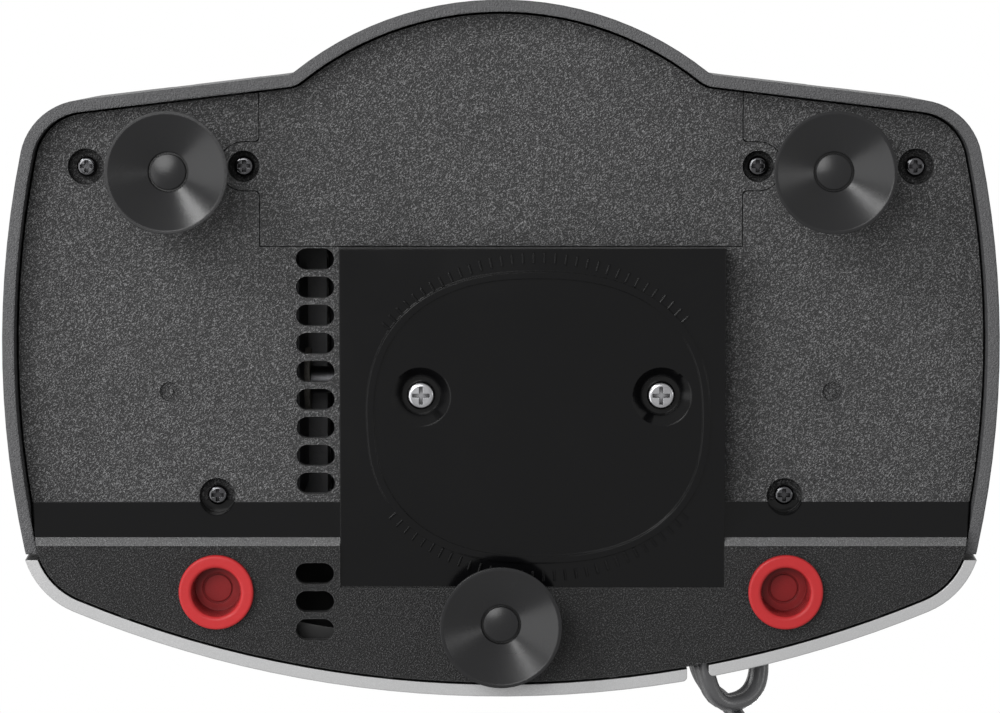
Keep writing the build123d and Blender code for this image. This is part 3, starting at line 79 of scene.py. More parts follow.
# ---------------------------------------------------------------- base plate, in metres
MOTOR_PLATE_LOW = Vector((-0.0474, -0.0504, 0.0090))
MOTOR_PLATE_HIGH = Vector((0.0341, 0.0216, 0.0160))
STEP_TOP_Y = -0.03295
STEP_BAND_Y = -0.0398  # the smooth band of the step ends here
STEP_EDGE_Y = -0.0415  # and here its rounded lower edge
RIDGE_CENTRE = Vector((-0.0079, -0.0142))
RIDGE_HALF = Vector((0.0363, 0.0310))
TICK_GAP = 0.0017  # between the ridge and the ticks round it
TICK = (0.0023, 0.0006, 0.0003)  # length, width and height of one tick
TICK_PITCH = 0.0021
GRAIN_SLANT = math.radians(-40)  # of the grain's long way
GRAIN_STRETCH = (1.35, 1.0, 1.0)  # pebbles are longer than wide
GRAIN_SHADE_AND_HIGHLIGHT_SHARES = (0.5, 2.9)  # of the base colour, as painted shade in the valleys and painted highlight on the tops
FRONT_SHADE_SHARE = 0.38  # of the grain's colours, as painted shade in front of the step
STEP_HIGHLIGHT_SHARE = 1.6  # of the base colour, as a painted highlight along the step's rounded edge
EDGE_HIGHLIGHT_SHARE, EDGE_HIGHLIGHT_MIX = 2.2, 0.25  # of the base colour, as a painted highlight along the sharp edges
RECESS_SHADE_SHARE = 0.1  # of the base colour, as painted shade in the screw recesses
# reach and sharpness of the painted shade in recesses
RECESS_SHADE_DISTANCE, RECESS_SHADE_POWER = 0.0060, 3.0
BASE_ROUGHNESS = (0.36, 0.13)  # grained, and smooth
BASE_SPECULAR = 0.14
MASK_MARGIN = Vector((0.001, 0.001, 0.001))
TICK_ARCS = ((35.0, 142.0), (218.0, 322.0))  # degrees round the ridge
TICK_FOOT_Z = MOTOR_PLATE_LOW.z + 0.0006
TICK_TAPER = 0.15  # how much a tick narrows from its foot to its face, as a share
MARK_HEIGHT = 0.0002  # of numerals and signs above and below the surface
NUMERAL_SIZE, SIGN_SIZE = 0.0105, 0.0028
NUMERAL_FROM = (-0.024, 0.2)  # each guide's numeral is dropped from here, in Y and Z
SIGN_FROM_Y = -0.1
SWITCH_SIGNS = (("on_sign", "I", 0.0368), ("off_sign", "O", 0.0331))  # with the height of each

# ---------------------------------------------------------------- finishes, as shares of their own colour
NOISE_SWING = 4.0  # brings a noise of about a half to an amount above or below nothing
EDGE_GAIN, EDGE_LIFT, EDGE_MIX = 1.5, 0.01, 0.35  # painted highlight: lighter edges of plastic
SHADE_SHARE = 0.35  # painted shade in deep places of plastic
METAL_EDGE = 0.0002  # radius of metal edges
METAL_SHADE_SHARE, METAL_SHADE_DISTANCE = 0.04, 0.0012  # painted shade in deep places of metal
DULL_SHARE, SCUFF_MIX = 0.5, 0.3  # worn metal
FLAKE_SHARES = (0.93, 1.12)  # silver paint between its flakes and on them
SILVER_INSIDE = (0.012, 0.012, 0.012, 1.0)
GRIT_SHARES = (0.6, 1.6)  # darkest and palest grain
WIRE_GAP_SHARE = 0.45
SHELL_EDGE = 2  # times the setting of the other edges
TURNED_LINES = (9000.0, 300.0, 300.0)  # fineness of tool lines in X, Y and Z
BADGE_LINES = (12000.0, 300.0, 300.0)
CAST_LUMPS = (900.0, 900.0, 900.0)

# ---------------------------------------------------------------- foam strips, in metres
SEAL_X = (0.03875, 0.08205)  # middles of the gaps beside a guide
SEAL_BESIDE = (0.0384, 0.0824)  # the housing's edge beside each gap
STAGE_MIDDLE = 0.0604
SEAL_Y = (-0.038, 0.046)
SEAL_STEPS = 12
SEAL_FROM_Z = 0.045  # the housing's edge is looked for from here upwards
SEAL_RISE = 0.0004
SEAL_TALL = 0.0014
SEAL_T = 0.00022

# ---------------------------------------------------------------- cord, in metres
CORD_THICK = 0.0034
CORD_WIDE = 0.0064
CORE_R = 0.0017
CORE_SPLIT = 0.0015  # each core from the middle of the cord
CORE_FIRST_DEG, CORE_LAST_DEG = -30, 210  # of each core's round part
CORE_WAIST = 0.00119  # half the cord's thickness between its cores
CORE_LINES = 28  # fine lines along each core
CORD_LEAN = 0.42  # of its wide way at the exit, as a slope
CORD_LEAN_LENGTH = 0.085
CORE_LINE_DEPTH = 0.00009
ROUTE = [
    (-0.0421, -0.0502, 0.0148),
    (-0.0421, -0.0768, 0.0148),
    (-0.0558, -0.0768, 0.0205),
    (-0.0558, -0.0612, 0.0242),
    (-0.0421, -0.0612, 0.0265),
    (-0.0426, -0.0735, 0.0265),
    (-0.0515, -0.0797, 0.0240),
    (-0.0570, -0.0930, 0.0135),
    (-0.0670, -0.1055, 0.0105),
    (-0.0730, -0.1175, 0.0075),
    (-0.0767, -0.1295, 0.0038),
]
COIL_AT = Vector((-0.0480, -0.1330))
COIL_FIRST_DEG = 190.0
COIL_LAST_DEG = 1350.0
COIL_INNER = 0.0292
COIL_PITCH = 0.0035
COIL_POINTS = 14  # for each turn
COIL_LOOSE, COIL_WAVES = 0.0004, 1.7  # how far the turns wander, and how often in one turn
TIE_DEG = 0.0
TIE_T = 0.0006
TIE_W = 0.0070
TIE_PASSES = 3
TIE_POWER, TIE_POINTS = 7, 56  # squareness of the strap's round, and its points
BOOT_X = -0.0100
BOOT_Z = 0.0051
BOOT_RIBS = 7
BOOT_HALF = (0.0026, 0.0038)  # across and up, at the cord
BOOT_GROWS = (0.0022, 0.0011)
BOOT_RISES = 0.0006
BOOT_SWELL = 0.00035  # of each rib
BOOT_POWER = 2.3
PLUG_X = 0.0020
PLUG_BODY = (0.0220, 0.0200, 0.0126)
PLUG_POWER, PLUG_POINTS = 3.4, 48
PLUG_STATIONS = [  # along the body, then its half width and half height, all as shares
    (0.03, 0.62, 0.86), (0.10, 0.84, 0.94), (0.22, 0.94, 0.99), (0.40, 0.93, 0.95), (0.58, 0.90, 0.90),
    (0.72, 0.93, 0.93), (0.84, 0.99, 0.99), (0.97, 1.0, 1.0), (1.0, 0.97, 0.96),
]


# ================================================================ node trees
class Graph:
    """Short ways to add and join the nodes of one shader tree."""

    def __init__(self, tree):
        self.tree = tree

    def feed(self, socket, value):
        if isinstance(value, bpy.types.NodeSocket):
            self.tree.links.new(value, socket)
        else:
            socket.default_value = value

    def add(self, kind, feeds=None, **settings):
        node = self.tree.nodes.new("ShaderNode" + kind)
        for key, value in settings.items():
            setattr(node, key, value)
        for key, value in (feeds or {}).items():
            self.feed(node.inputs[key], value)
        return node

    def math(self, operation, a, b=0.0, clamp=False):
        node = self.add("Math", operation=operation, use_clamp=clamp)
        self.feed(node.inputs[0], a)
        self.feed(node.inputs[1], b)
        return node.outputs[0]

    def mix(self, factor, a, b, blend="MIX"):
        node = self.add("Mix", data_type="RGBA", blend_type=blend)
        for index, value in ((0, factor), (6, a), (7, b)):
            self.feed(node.inputs[index], value)
        return node.outputs[2]

    def span(self, value, low, high, to_low=0.0, to_high=1.0):
        feeds = {"Value": value, "From Min": low, "From Max": high, "To Min": to_low, "To Max": to_high}
        return self.add("MapRange", feeds).outputs["Result"]

    def noise(self, vector, scale, detail=3.0, roughness=0.5):
        feeds = {"Vector": vector, "Scale": scale, "Detail": detail, "Roughness": roughness}
        return self.add("TexNoise", feeds).outputs["Fac"]

    def stretched(self, vector, scale):
        return self.add("Mapping", {"Vector": vector, "Scale": scale}).outputs["Vector"]

    def effect(self, name, **feeds):
        tree = bpy.data.node_groups.get(name) or EFFECTS[name]()
        node = self.add("Group", node_tree=tree)
        for key, value in feeds.items():
            self.feed(node.inputs[key.replace("_", " ")], value)
        return node.outputs


def new_effect(name, inputs, outputs):
    """A shader node group: its graph, the sockets that it is given, and a function that ends it."""
    tree = bpy.data.node_groups.new(name, "ShaderNodeTree")
    for title, kind, default in inputs:
        socket = tree.interface.new_socket(title, in_out="INPUT", socket_type="NodeSocket" + kind)
        socket.default_value = default
    for title, kind in outputs:
        tree.interface.new_socket(title, in_out="OUTPUT", socket_type="NodeSocket" + kind)
    given = tree.nodes.new("NodeGroupInput").outputs
    result = tree.nodes.new("NodeGroupOutput").inputs
    return tree, Graph(tree), given, result


def moulded_grain():
    """Pebbles of a spark-eroded mould: their height, and a mask of their tops."""
    inputs = [("Vector", "Vector", (0, 0, 0)), ("Scale", "Float", 1000.0)]
    outputs = [("Height", "Float"), ("Tops", "Float")]
    tree, graph, given, result = new_effect("moulded_grain", inputs, outputs)
    coarse = graph.noise(given["Vector"], given["Scale"], 2.0, 0.6)
    fine = graph.noise(given["Vector"], graph.math("MULTIPLY", given["Scale"], 2.3), 1.0)
    height = graph.math("ADD", graph.math("MULTIPLY", coarse, 0.75), graph.math("MULTIPLY", fine, 0.25))
    graph.feed(result["Height"], graph.span(height, 0.3, 0.7))
    graph.feed(result["Tops"], graph.span(height, 0.5, 0.66))
    return tree


def handling():
    """Slow blotches and faint fine scuffs, as a shift of the roughness and a mask of wear."""
    inputs = [("Vector", "Vector", (0, 0, 0)), ("Amount", "Float", 0.06)]
    tree, graph, given, result = new_effect("handling", inputs, [("Shift", "Float"), ("Scuff", "Float")])
    blotch = graph.noise(given["Vector"], 45.0, 3.0, 0.55)
    swing = graph.math("MULTIPLY", given["Amount"], NOISE_SWING)
    graph.feed(result["Shift"], graph.math("MULTIPLY", graph.math("SUBTRACT", blotch, 0.5), swing))
    streak = graph.noise(graph.stretched(given["Vector"], (300.0, 2600.0, 900.0)), 1.0, 2.0)
    graph.feed(result["Scuff"], graph.span(streak, 0.68, 0.76))
    return tree


def soft_edge():
    """A small rounding of every sharp edge, as a normal, and a mask of those edges."""
    outputs = [("Normal", "Vector"), ("Edge", "Float")]
    tree, graph, given, result = new_effect("soft_edge", [("Radius", "Float", 0.0003)], outputs)
    rounded = graph.add("Bevel", {"Radius": given["Radius"]}, samples=4).outputs["Normal"]
    flat = graph.add("NewGeometry").outputs["Normal"]
    product = graph.add("VectorMath", operation="DOT_PRODUCT")
    graph.feed(product.inputs[0], rounded)
    graph.feed(product.inputs[1], flat)
    graph.feed(result["Normal"], rounded)
    graph.feed(result["Edge"], graph.span(product.outputs["Value"], 0.98, 0.75))
    return tree


def crevice():
    """A mask for painted shade: one in narrow and deep places, and nought on open faces."""
    inputs = [("Distance", "Float", 0.002)]
    tree, graph, given, result = new_effect("crevice", inputs, [("Mask", "Float")])
    open_sky = graph.add("AmbientOcclusion", {"Distance": given["Distance"]}, samples=8).outputs["AO"]
    graph.feed(result["Mask"], graph.span(open_sky, 0.8, 0.2))
    return tree


def inner_side():
    """One on the faces of a shell that look towards a point inside it."""
    inputs = [("Vector", "Vector", (0, 0, 0)), ("Centre", "Vector", (0, 0, 0))]
    tree, graph, given, result = new_effect("inner_side", inputs, [("Mask", "Float")])
    outwards = graph.add("VectorMath", operation="SUBTRACT")
    graph.feed(outwards.inputs[0], given["Vector"])
    graph.feed(outwards.inputs[1], given["Centre"])
    product = graph.add("VectorMath", operation="DOT_PRODUCT")
    graph.feed(product.inputs[0], outwards.outputs["Vector"])
    graph.feed(product.inputs[1], graph.add("NewGeometry").outputs["True Normal"])
    graph.feed(result["Mask"], graph.math("LESS_THAN", product.outputs["Value"], 0.0))
    return tree


def box_mask():
    """One inside a box and nought outside it."""
    inputs = [("Vector", "Vector", (0, 0, 0))]
    inputs += [("Low", "Vector", (0, 0, 0)), ("High", "Vector", (1, 1, 1))]
    tree, graph, given, result = new_effect("box_mask", inputs, [("Mask", "Float")])
    names = ("Vector", "Low", "High")
    parts = [graph.add("SeparateXYZ", {"Vector": given[name]}).outputs for name in names]
    mask = 1.0
    for value, low, high in zip(*parts):
        mask = graph.math("MULTIPLY", mask, graph.math("GREATER_THAN", value, low))
        mask = graph.math("MULTIPLY", mask, graph.math("LESS_THAN", value, high))
    graph.feed(result["Mask"], mask)
    return tree


def brushed():
    """Fine parallel lines of a rolled, turned or brushed metal."""
    inputs = [("Vector", "Vector", (0, 0, 0)), ("Stretch", "Vector", (300.0, 300.0, 9000.0))]
    tree, graph, given, result = new_effect("brushed", inputs, [("Height", "Float"), ("Shade", "Float")])
    scaled = graph.add("VectorMath", operation="MULTIPLY")
    graph.feed(scaled.inputs[0], given["Vector"])
    graph.feed(scaled.inputs[1], given["Stretch"])
    lines = graph.noise(scaled.outputs["Vector"], 1.0, 4.0, 0.6)
    graph.feed(result["Height"], lines)
    graph.feed(result["Shade"], graph.span(lines, 0.35, 0.65, 0.82, 1.08))
    return tree


def colour_drift():
    """A colour that wanders slowly lighter and darker over a surface."""
    inputs = [("Vector", "Vector", (0, 0, 0)), ("Color", "Color", (1, 1, 1, 1)), ("Amount", "Float", 0.1)]
    inputs += [("Scale", "Float", 60.0)]
    tree, graph, given, result = new_effect("colour_drift", inputs, [("Color", "Color")])
    drift = graph.noise(given["Vector"], given["Scale"], 4.0, 0.6)
    swing = graph.math("MULTIPLY", given["Amount"], NOISE_SWING)
    factor = graph.math("ADD", graph.math("MULTIPLY", graph.math("SUBTRACT", drift, 0.5), swing), 1.0)
    graph.feed(result["Color"], graph.mix(1.0, given["Color"], factor, "MULTIPLY"))
    return tree


EFFECTS = {make.__name__: make for make in (
    moulded_grain, handling, soft_edge, crevice, inner_side, box_mask, brushed, colour_drift)}


# ================================================================ materials
def opaque(colour, share=1.0):
    """A colour, or a share of it, with full alpha."""
    return (*(c * share for c in colour[:3]), 1.0)


def node_of(tree, kind):
    """The one node of a kind that a new tree starts with."""
    return next(node for node in tree.nodes if node.type == kind)


def start_material(name, **sockets):
    """A new material with a Principled shader: its graph, its shader and the object's own coordinates."""
    material = bpy.data.materials.new(name)
    material.use_nodes = True
    shader = node_of(material.node_tree, "BSDF_PRINCIPLED")
    graph = Graph(material.node_tree)
    for title, value in sockets.items():
        shader.inputs[title.replace("_", " ")].default_value = value
    place = graph.add("TexCoord").outputs["Object"]
    return material, graph, shader.inputs, place


def raised(graph, height, distance, strength, normal):
    feeds = {"Height": height, "Distance": distance, "Strength": strength, "Normal": normal}
    return graph.add("Bump", feeds).outputs["Normal"]


def plastic(name, colour, roughness, grain=1100.0, depth=0.00006, specular=0.4, edge=0.00035,
            deep=0.0015, **sockets):
    """Moulded plastic or rubber: a fine grain, slightly lighter edges as a painted highlight, painted
    shade in its recesses, and uneven gloss.
    """
    sockets["Specular_IOR_Level"] = specular
    material, graph, inputs, place = start_material(name, **sockets)
    pebbles = graph.effect("moulded_grain", Vector=place, Scale=grain)
    rounded = graph.effect("soft_edge", Radius=edge)
    use = graph.effect("handling", Vector=place)
    base = graph.effect("colour_drift", Vector=place, Color=opaque(colour), Amount=0.08)["Color"]
    # painted highlight: a lighter colour along the edges
    edge_highlight_colour = opaque([c * EDGE_GAIN + EDGE_LIFT for c in colour])
    paler = graph.mix(graph.math("MULTIPLY", rounded["Edge"], EDGE_MIX), base, edge_highlight_colour)
    # painted shade: the colour darkens in recesses
    recess_shade = graph.effect("crevice", Distance=deep)["Mask"]
    graph.feed(inputs["Base Color"], graph.mix(recess_shade, paler, opaque(colour, SHADE_SHARE)))
    graph.feed(inputs["Roughness"], graph.math("ADD", roughness, use["Shift"], clamp=True))
    graph.feed(inputs["Normal"], raised(graph, pebbles["Height"], depth, 1.0, rounded["Normal"]))
    return material


def metal(name, colour, roughness, stretch=(300.0, 300.0, 9000.0), depth=0.00002):
    """Bare metal with fine tool lines, painted shade in its recesses, and darker where hands and oil have
    dulled it.
    """
    material, graph, inputs, place = start_material(name, Metallic=1.0)
    lines = graph.effect("brushed", Vector=place, Stretch=stretch)
    rounded = graph.effect("soft_edge", Radius=METAL_EDGE)
    use = graph.effect("handling", Vector=place)
    shaded = graph.mix(1.0, opaque(colour), lines["Shade"], "MULTIPLY")
    # painted shade in the recesses
    deep = graph.effect("crevice", Distance=METAL_SHADE_DISTANCE)["Mask"]
    worn = graph.mix(graph.math("MULTIPLY", use["Scuff"], SCUFF_MIX), shaded, opaque(colour, DULL_SHARE))
    graph.feed(inputs["Base Color"], graph.mix(deep, worn, opaque(colour, METAL_SHADE_SHARE)))
    graph.feed(inputs["Roughness"], graph.math("ADD", roughness, use["Shift"], clamp=True))
    graph.feed(inputs["Normal"], raised(graph, lines["Height"], depth, 0.6, rounded["Normal"]))
    return material


def paint(material, slot, *nodes):
    """Gives a material to CAD nodes that keep their own shape."""
    for name in nodes:
        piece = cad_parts[name]
        for place in piece.material_slots:
            place.material = material
        if not piece.material_slots:
            piece.data.materials.append(material)


# ================================================================ meshes
def mesh_piece(name, mesh, material, body="housing", smooth=True):
    """A new piece in the shared frame, riding on a body."""
    data = bpy.data.meshes.new(name)
    mesh.normal_update()
    mesh.to_mesh(data)
    mesh.free()
    piece = bpy.data.objects.new(name, data)
    bpy.context.scene.collection.objects.link(piece)
    data.materials.append(material)
    data.polygons.foreach_set("use_smooth", [smooth] * len(data.polygons))
    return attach(piece, body)


def loft(rings, closed=True):
    """A skin over rings of points, each with as many points, and with its ends closed."""
    mesh = bmesh.new()
    rows = [[mesh.verts.new(point) for point in ring] for ring in rings]
    count = len(rows[0])
    for low, high in zip(rows, rows[1:]):
        for i in range(count):
            mesh.faces.new((low[i], low[(i + 1) % count], high[(i + 1) % count], high[i]))
    if closed:
        mesh.faces.new(rows[0][::-1])
        mesh.faces.new(rows[-1])
    bmesh.ops.recalc_face_normals(mesh, faces=mesh.faces)
    return mesh


def superellipse(half_a, half_b, power, count):
    """Points round a rounded rectangle; a higher power has squarer corners."""
    points = []
    for i in range(count):
        angle = math.tau * i / count
        c, s = math.cos(angle), math.sin(angle)
        a = half_a * math.copysign(abs(c) ** (2 / power), c)
        b = half_b * math.copysign(abs(s) ** (2 / power), s)
        points.append((a, b))
    return points


# ================================================================ cord
def coil_radius(degrees):
    return COIL_INNER + COIL_PITCH * (degrees - COIL_FIRST_DEG) / 360


def coil_points():
    """The turns of the put-away cord, from the inside outwards, and its way out to the plug."""
    steps = round((COIL_LAST_DEG - COIL_FIRST_DEG) / 360 * COIL_POINTS)
    inside = 1 / math.cos(math.pi / COIL_POINTS)  # the spline runs inside its points
    points = []
    for i in range(steps + 1):
        angle = COIL_FIRST_DEG + (COIL_LAST_DEG - COIL_FIRST_DEG) * i / steps
        radius = coil_radius(angle) + COIL_LOOSE * math.sin(math.radians(COIL_WAVES * angle))
        turn = math.radians(angle)
        lift = TIE_T * (0.5 + 0.5 * math.cos(turn - math.radians(TIE_DEG)))
        x = COIL_AT.x + radius * inside * math.cos(turn)
        y = COIL_AT.y + radius * inside * math.sin(turn)
        points.append((x, y, CORD_WIDE / 2 + lift))
    x, y, z = points[-1]
    third = (BOOT_X - x) / 3
    points += [(x + third, y, z), (x + 2 * third, y, (z + BOOT_Z) / 2)]
    return points + [(BOOT_X, y, BOOT_Z), (PLUG_X, y, BOOT_Z)]


def spline_points(points, name):
    """Points along the one smooth NURBS line that has the given control points."""
    curve = bpy.data.curves.new(name, "CURVE")
    curve.dimensions = "3D"
    curve.resolution_u = 10
    spline = curve.splines.new("NURBS")
    spline.points.add(len(points) - 1)
    for place, point in zip(spline.points, points):
        place.co = (*point, 1.0)
    spline.order_u = 3
    spline.use_endpoint_u = True
    holder = bpy.data.objects.new(name, curve)
    bpy.context.scene.collection.objects.link(holder)
    bpy.context.view_layer.update()
    line = bpy.data.meshes.new_from_object(holder)
    path = [vertex.co.copy() for vertex in line.vertices]
    bpy.data.objects.remove(holder)
    bpy.data.meshes.remove(line)
    return path


def two_core_section():
    """Outline of the flat cord: across its thin way first, then along its wide way."""
    points = []
    for side in (1, -1):
        for i in range(CORE_LINES + 1):
            angle = math.radians(CORE_FIRST_DEG + (CORE_LAST_DEG - CORE_FIRST_DEG) * i / CORE_LINES)
            radius = CORE_R - CORE_LINE_DEPTH * (i % 2)
            thin, wide = radius * math.cos(angle), CORE_SPLIT + radius * math.sin(angle)
            points.append((side * thin, side * wide))
        points.append((-side * CORE_WAIST, 0.0))
    return points


def sweep(section, path):
    """Rings of a section along a path; its wide way leans near the exit and stands upright farther on."""
    rings = []
    passed = 0.0
    for i, point in enumerate(path):
        ahead, behind = path[min(i + 1, len(path) - 1)], path[max(i - 1, 0)]
        along = (ahead - behind).normalized()
        passed += (point - behind).length
        lean = CORD_LEAN * max(0.0, 1.0 - passed / CORD_LEAN_LENGTH)
        across = along.cross(Vector((lean, 0, 1))).normalized()
        upright = across.cross(along)
        rings.append([point + across * a + upright * b for a, b in section])
    return rings


def make_cord(material):
    path = spline_points(ROUTE + coil_points(), "cord_line")
    cord = mesh_piece("flat_cord", loft(sweep(two_core_section(), path)), material)
    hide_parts("power_cord", "cord_coil")
    return cord, path


def make_tie(material):
    """A strap wound round the turns."""
    middle = coil_radius(TIE_DEG + 360 * (TIE_PASSES + 1) / 2)
    half_x = (COIL_PITCH * (TIE_PASSES - 1) + CORD_THICK) / 2 + TIE_T / 2 + COIL_LOOSE
    half_z = CORD_WIDE / 2 + TIE_T / 2
    z = CORD_WIDE / 2 + TIE_T
    rings = []
    for low, grow in ((-0.5, -0.5), (-0.5, 0.5), (0.5, 0.5), (0.5, -0.5)):
        outline = superellipse(half_x + grow * TIE_T, half_z + grow * TIE_T, TIE_POWER, TIE_POINTS)
        rings.append([(COIL_AT.x + middle + a, COIL_AT.y + low * TIE_W, z + b) for a, b in outline])
    strap = loft(rings + rings[:1], closed=False)
    bmesh.ops.remove_doubles(strap, verts=strap.verts, dist=1e-7)
    tie = mesh_piece("strap_tie", strap, material, smooth=False)
    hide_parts("cord_tie")
    return tie


def make_plug(material):
    """Moulded plug: a ribbed boot that widens into a waisted body with a flat face."""
    y = coil_points()[-1][1]
    length, wide, tall = PLUG_BODY
    stations = []
    for i in range(2 * BOOT_RIBS + 1):
        share = i / (2 * BOOT_RIBS)
        swell = BOOT_SWELL * (i % 2) * (1 - 0.5 * share)
        half = [start + grows * share + swell for start, grows in zip(BOOT_HALF, BOOT_GROWS)]
        x, z = BOOT_X + share * (PLUG_X - BOOT_X), BOOT_Z + BOOT_RISES * share
        stations.append((x, z, *half, BOOT_POWER))
    for share, across, up in PLUG_STATIONS:
        stations.append((PLUG_X + share * length, tall / 2, across * wide / 2, up * tall / 2, PLUG_POWER))
    rings = []
    for x, z, *shape in stations:
        rings.append([(x, y + a, z + b) for a, b in superellipse(*shape, PLUG_POINTS)])
    plug = mesh_piece("moulded_plug", loft(rings), material)
    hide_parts("cord_plug")
    return plug


# ================================================================ small raised details
def ridge_point(angle, grow):
    """A point outside the oval ridge, and the direction away from it."""
    half = RIDGE_HALF + Vector((grow, grow))
    c, s = math.cos(angle), math.sin(angle)
    point = RIDGE_CENTRE + Vector((half.x * c, half.y * s))
    away = Vector((c / half.x, s / half.y)).normalized()
    return point, away


def add_bar(mesh, at, along, length, width, low, high):
    """A small bar with sloping sides."""
    across = Vector((-along.y, along.x))
    rows = []
    corners = ((-1, -1), (1, -1), (1, 1), (-1, 1))
    for z, grow in ((high, 0.0), (low, -TICK_TAPER)):
        row = []
        for a, b in corners:
            place = at + along * a * (length + grow * width) / 2 + across * b * width * (1 + grow * 2) / 2
            row.append(mesh.verts.new((place.x, place.y, z)))
        rows.append(row)
    top, foot = rows
    for i in range(4):
        mesh.faces.new((top[i], top[(i + 1) % 4], foot[(i + 1) % 4], foot[i]))
    mesh.faces.new(top[::-1])
    mesh.faces.new(foot)


def make_ticks(material):
    """Plain raised ticks along the upper and lower arcs of the oval ridge."""
    mesh = bmesh.new()
    length, width, height = TICK
    for first, last in TICK_ARCS:
        mid = RIDGE_HALF.x * math.radians(last - first)
        count = round(mid / TICK_PITCH)
        for i in range(count + 1):
            angle = math.radians(first + (last - first) * i / count)
            at, away = ridge_point(angle, TICK_GAP + length / 2)
            add_bar(mesh, at, away, length, width, TICK_FOOT_Z - height, TICK_FOOT_Z)
    bmesh.ops.recalc_face_normals(mesh, faces=mesh.faces)
    return mesh_piece("plate_ticks", mesh, material, smooth=False)


def surface_of(node):
    """The CAD surface of a node, for finding a place on it."""
    mesh = bmesh.new()
    mesh.from_mesh(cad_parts[node].data)
    tree = BVHTree.FromBMesh(mesh)
    mesh.free()
    return tree


def make_mark(name, text, height, node, start, direction, material, body):
    """A raised numeral or sign on the surface of a node, where a line from its start meets it."""
    at, normal = surface_of(node).ray_cast(Vector(start), Vector(direction))[:2]
    letter = bpy.data.curves.new(name, "FONT")
    letter.body, letter.size, letter.extrude = text, height, MARK_HEIGHT
    letter.align_x, letter.align_y = "CENTER", "CENTER"
    holder = bpy.data.objects.new(name + "_letter", letter)
    bpy.context.scene.collection.objects.link(holder)
    bpy.context.view_layer.update()
    flat = bpy.data.meshes.new_from_object(holder)
    bpy.data.objects.remove(holder)
    right = Vector((1, 0, 0))
    right = (right - normal * right.dot(normal)).normalized()
    turn = Matrix((right, normal.cross(right), normal)).transposed().to_4x4()
    flat.transform(Matrix.Translation(at) @ turn)
    mesh = bmesh.new()
    mesh.from_mesh(flat)
    bpy.data.meshes.remove(flat)
    return mesh_piece(name, mesh, material, body, smooth=False)


def make_guide_seal(name, x, material):
    """A thin foam strip in the gap beside a blade guide, which follows the edge of the housing."""
    surface = surface_of("rear_housing")
    rings = []
    for i in range(SEAL_STEPS + 1):
        y = SEAL_Y[0] + (SEAL_Y[1] - SEAL_Y[0]) * i / SEAL_STEPS
        beside = math.copysign(SEAL_BESIDE[abs(x) > STAGE_MIDDLE], x)
        low = surface.ray_cast(Vector((beside, y, SEAL_FROM_Z)), Vector((0, 0, 1)))[0].z + SEAL_RISE
        corners = ((-1, 0), (1, 0), (1, 1), (-1, 1))
        rings.append([(x + a * SEAL_T / 2, y, low + b * SEAL_TALL) for a, b in corners])
    return mesh_piece(name, loft(rings), material, smooth=False)


# ================================================================ settings
class SharpenerColours(bpy.types.PropertyGroup):
    """Colours of the visible finishes."""

    base: FloatVectorProperty(
        name="Base", description="Grained base plate and access panel", subtype="COLOR",
        default=(0.084, 0.084, 0.085), min=0.0, max=1.0)
    plate: FloatVectorProperty(
        name="Motor plate", description="Smooth places of the base plate", subtype="COLOR",
        default=(0.0015, 0.0015, 0.0017), min=0.0, max=1.0)
    shell: FloatVectorProperty(
        name="Shell", description="Rear housing", subtype="COLOR",
        default=(0.052, 0.052, 0.054), min=0.0, max=1.0)
    silver: FloatVectorProperty(
        name="Front panel", description="Silver paint of the front panel", subtype="COLOR",
        default=(0.30, 0.30, 0.302), min=0.0, max=1.0)
    plug: FloatVectorProperty(
        name="Grit plugs", description="Soft red plugs under the grinding chambers", subtype="COLOR",
        default=(0.33, 0.020, 0.022), min=0.0, max=1.0)
    rubber: FloatVectorProperty(
        name="Suction feet", description="Rubber of the suction feet", subtype="COLOR",
        default=(0.006, 0.006, 0.0065), min=0.0, max=1.0)
    cord: FloatVectorProperty(
        name="Cord", description="Jacket of the cord", subtype="COLOR",
        default=(0.048, 0.048, 0.050), min=0.0, max=1.0)


class SharpenerSizes(bpy.types.PropertyGroup):
    """Sizes of grain and small relief."""

    grain: FloatProperty(
        name="Grain", description="Pebbles of the moulded grain in one metre", default=3900.0, min=100.0)
    grain_depth: FloatProperty(
        name="Grain depth", description="Height of the moulded grain", unit="LENGTH", subtype="DISTANCE",
        default=0.00050, min=0.0, max=0.001, precision=5)
    edge: FloatProperty(
        name="Edge rounding", description="Radius that softens sharp edges", unit="LENGTH",
        subtype="DISTANCE", default=0.0004, min=0.0, max=0.002, precision=5)


class SharpenerStudio(bpy.types.PropertyGroup):
    """Camera and light."""

    distance: FloatProperty(
        name="Camera distance", description="From the camera to the middle of the base", unit="LENGTH",
        subtype="DISTANCE", default=0.75, min=0.2, max=5.0)
    tilt: FloatProperty(
        name="Camera tilt", description="Lean of the camera from straight below, towards the back",
        subtype="ANGLE", default=math.radians(5.5), min=0.0, max=1.5)
    key: FloatProperty(
        name="Key light", description="Power of the key light below", default=8.0, min=0.0)
    top_key: FloatProperty(
        name="Top light", description="Power of the key light above", default=8.5, min=0.0)
    ambient: FloatProperty(
        name="Ambient", description="Strength of the light from all round", default=0.45, min=0.0)


def settings():
    scene = bpy.context.scene
    return scene.sharpener_colours, scene.sharpener_sizes, scene.sharpener_studio


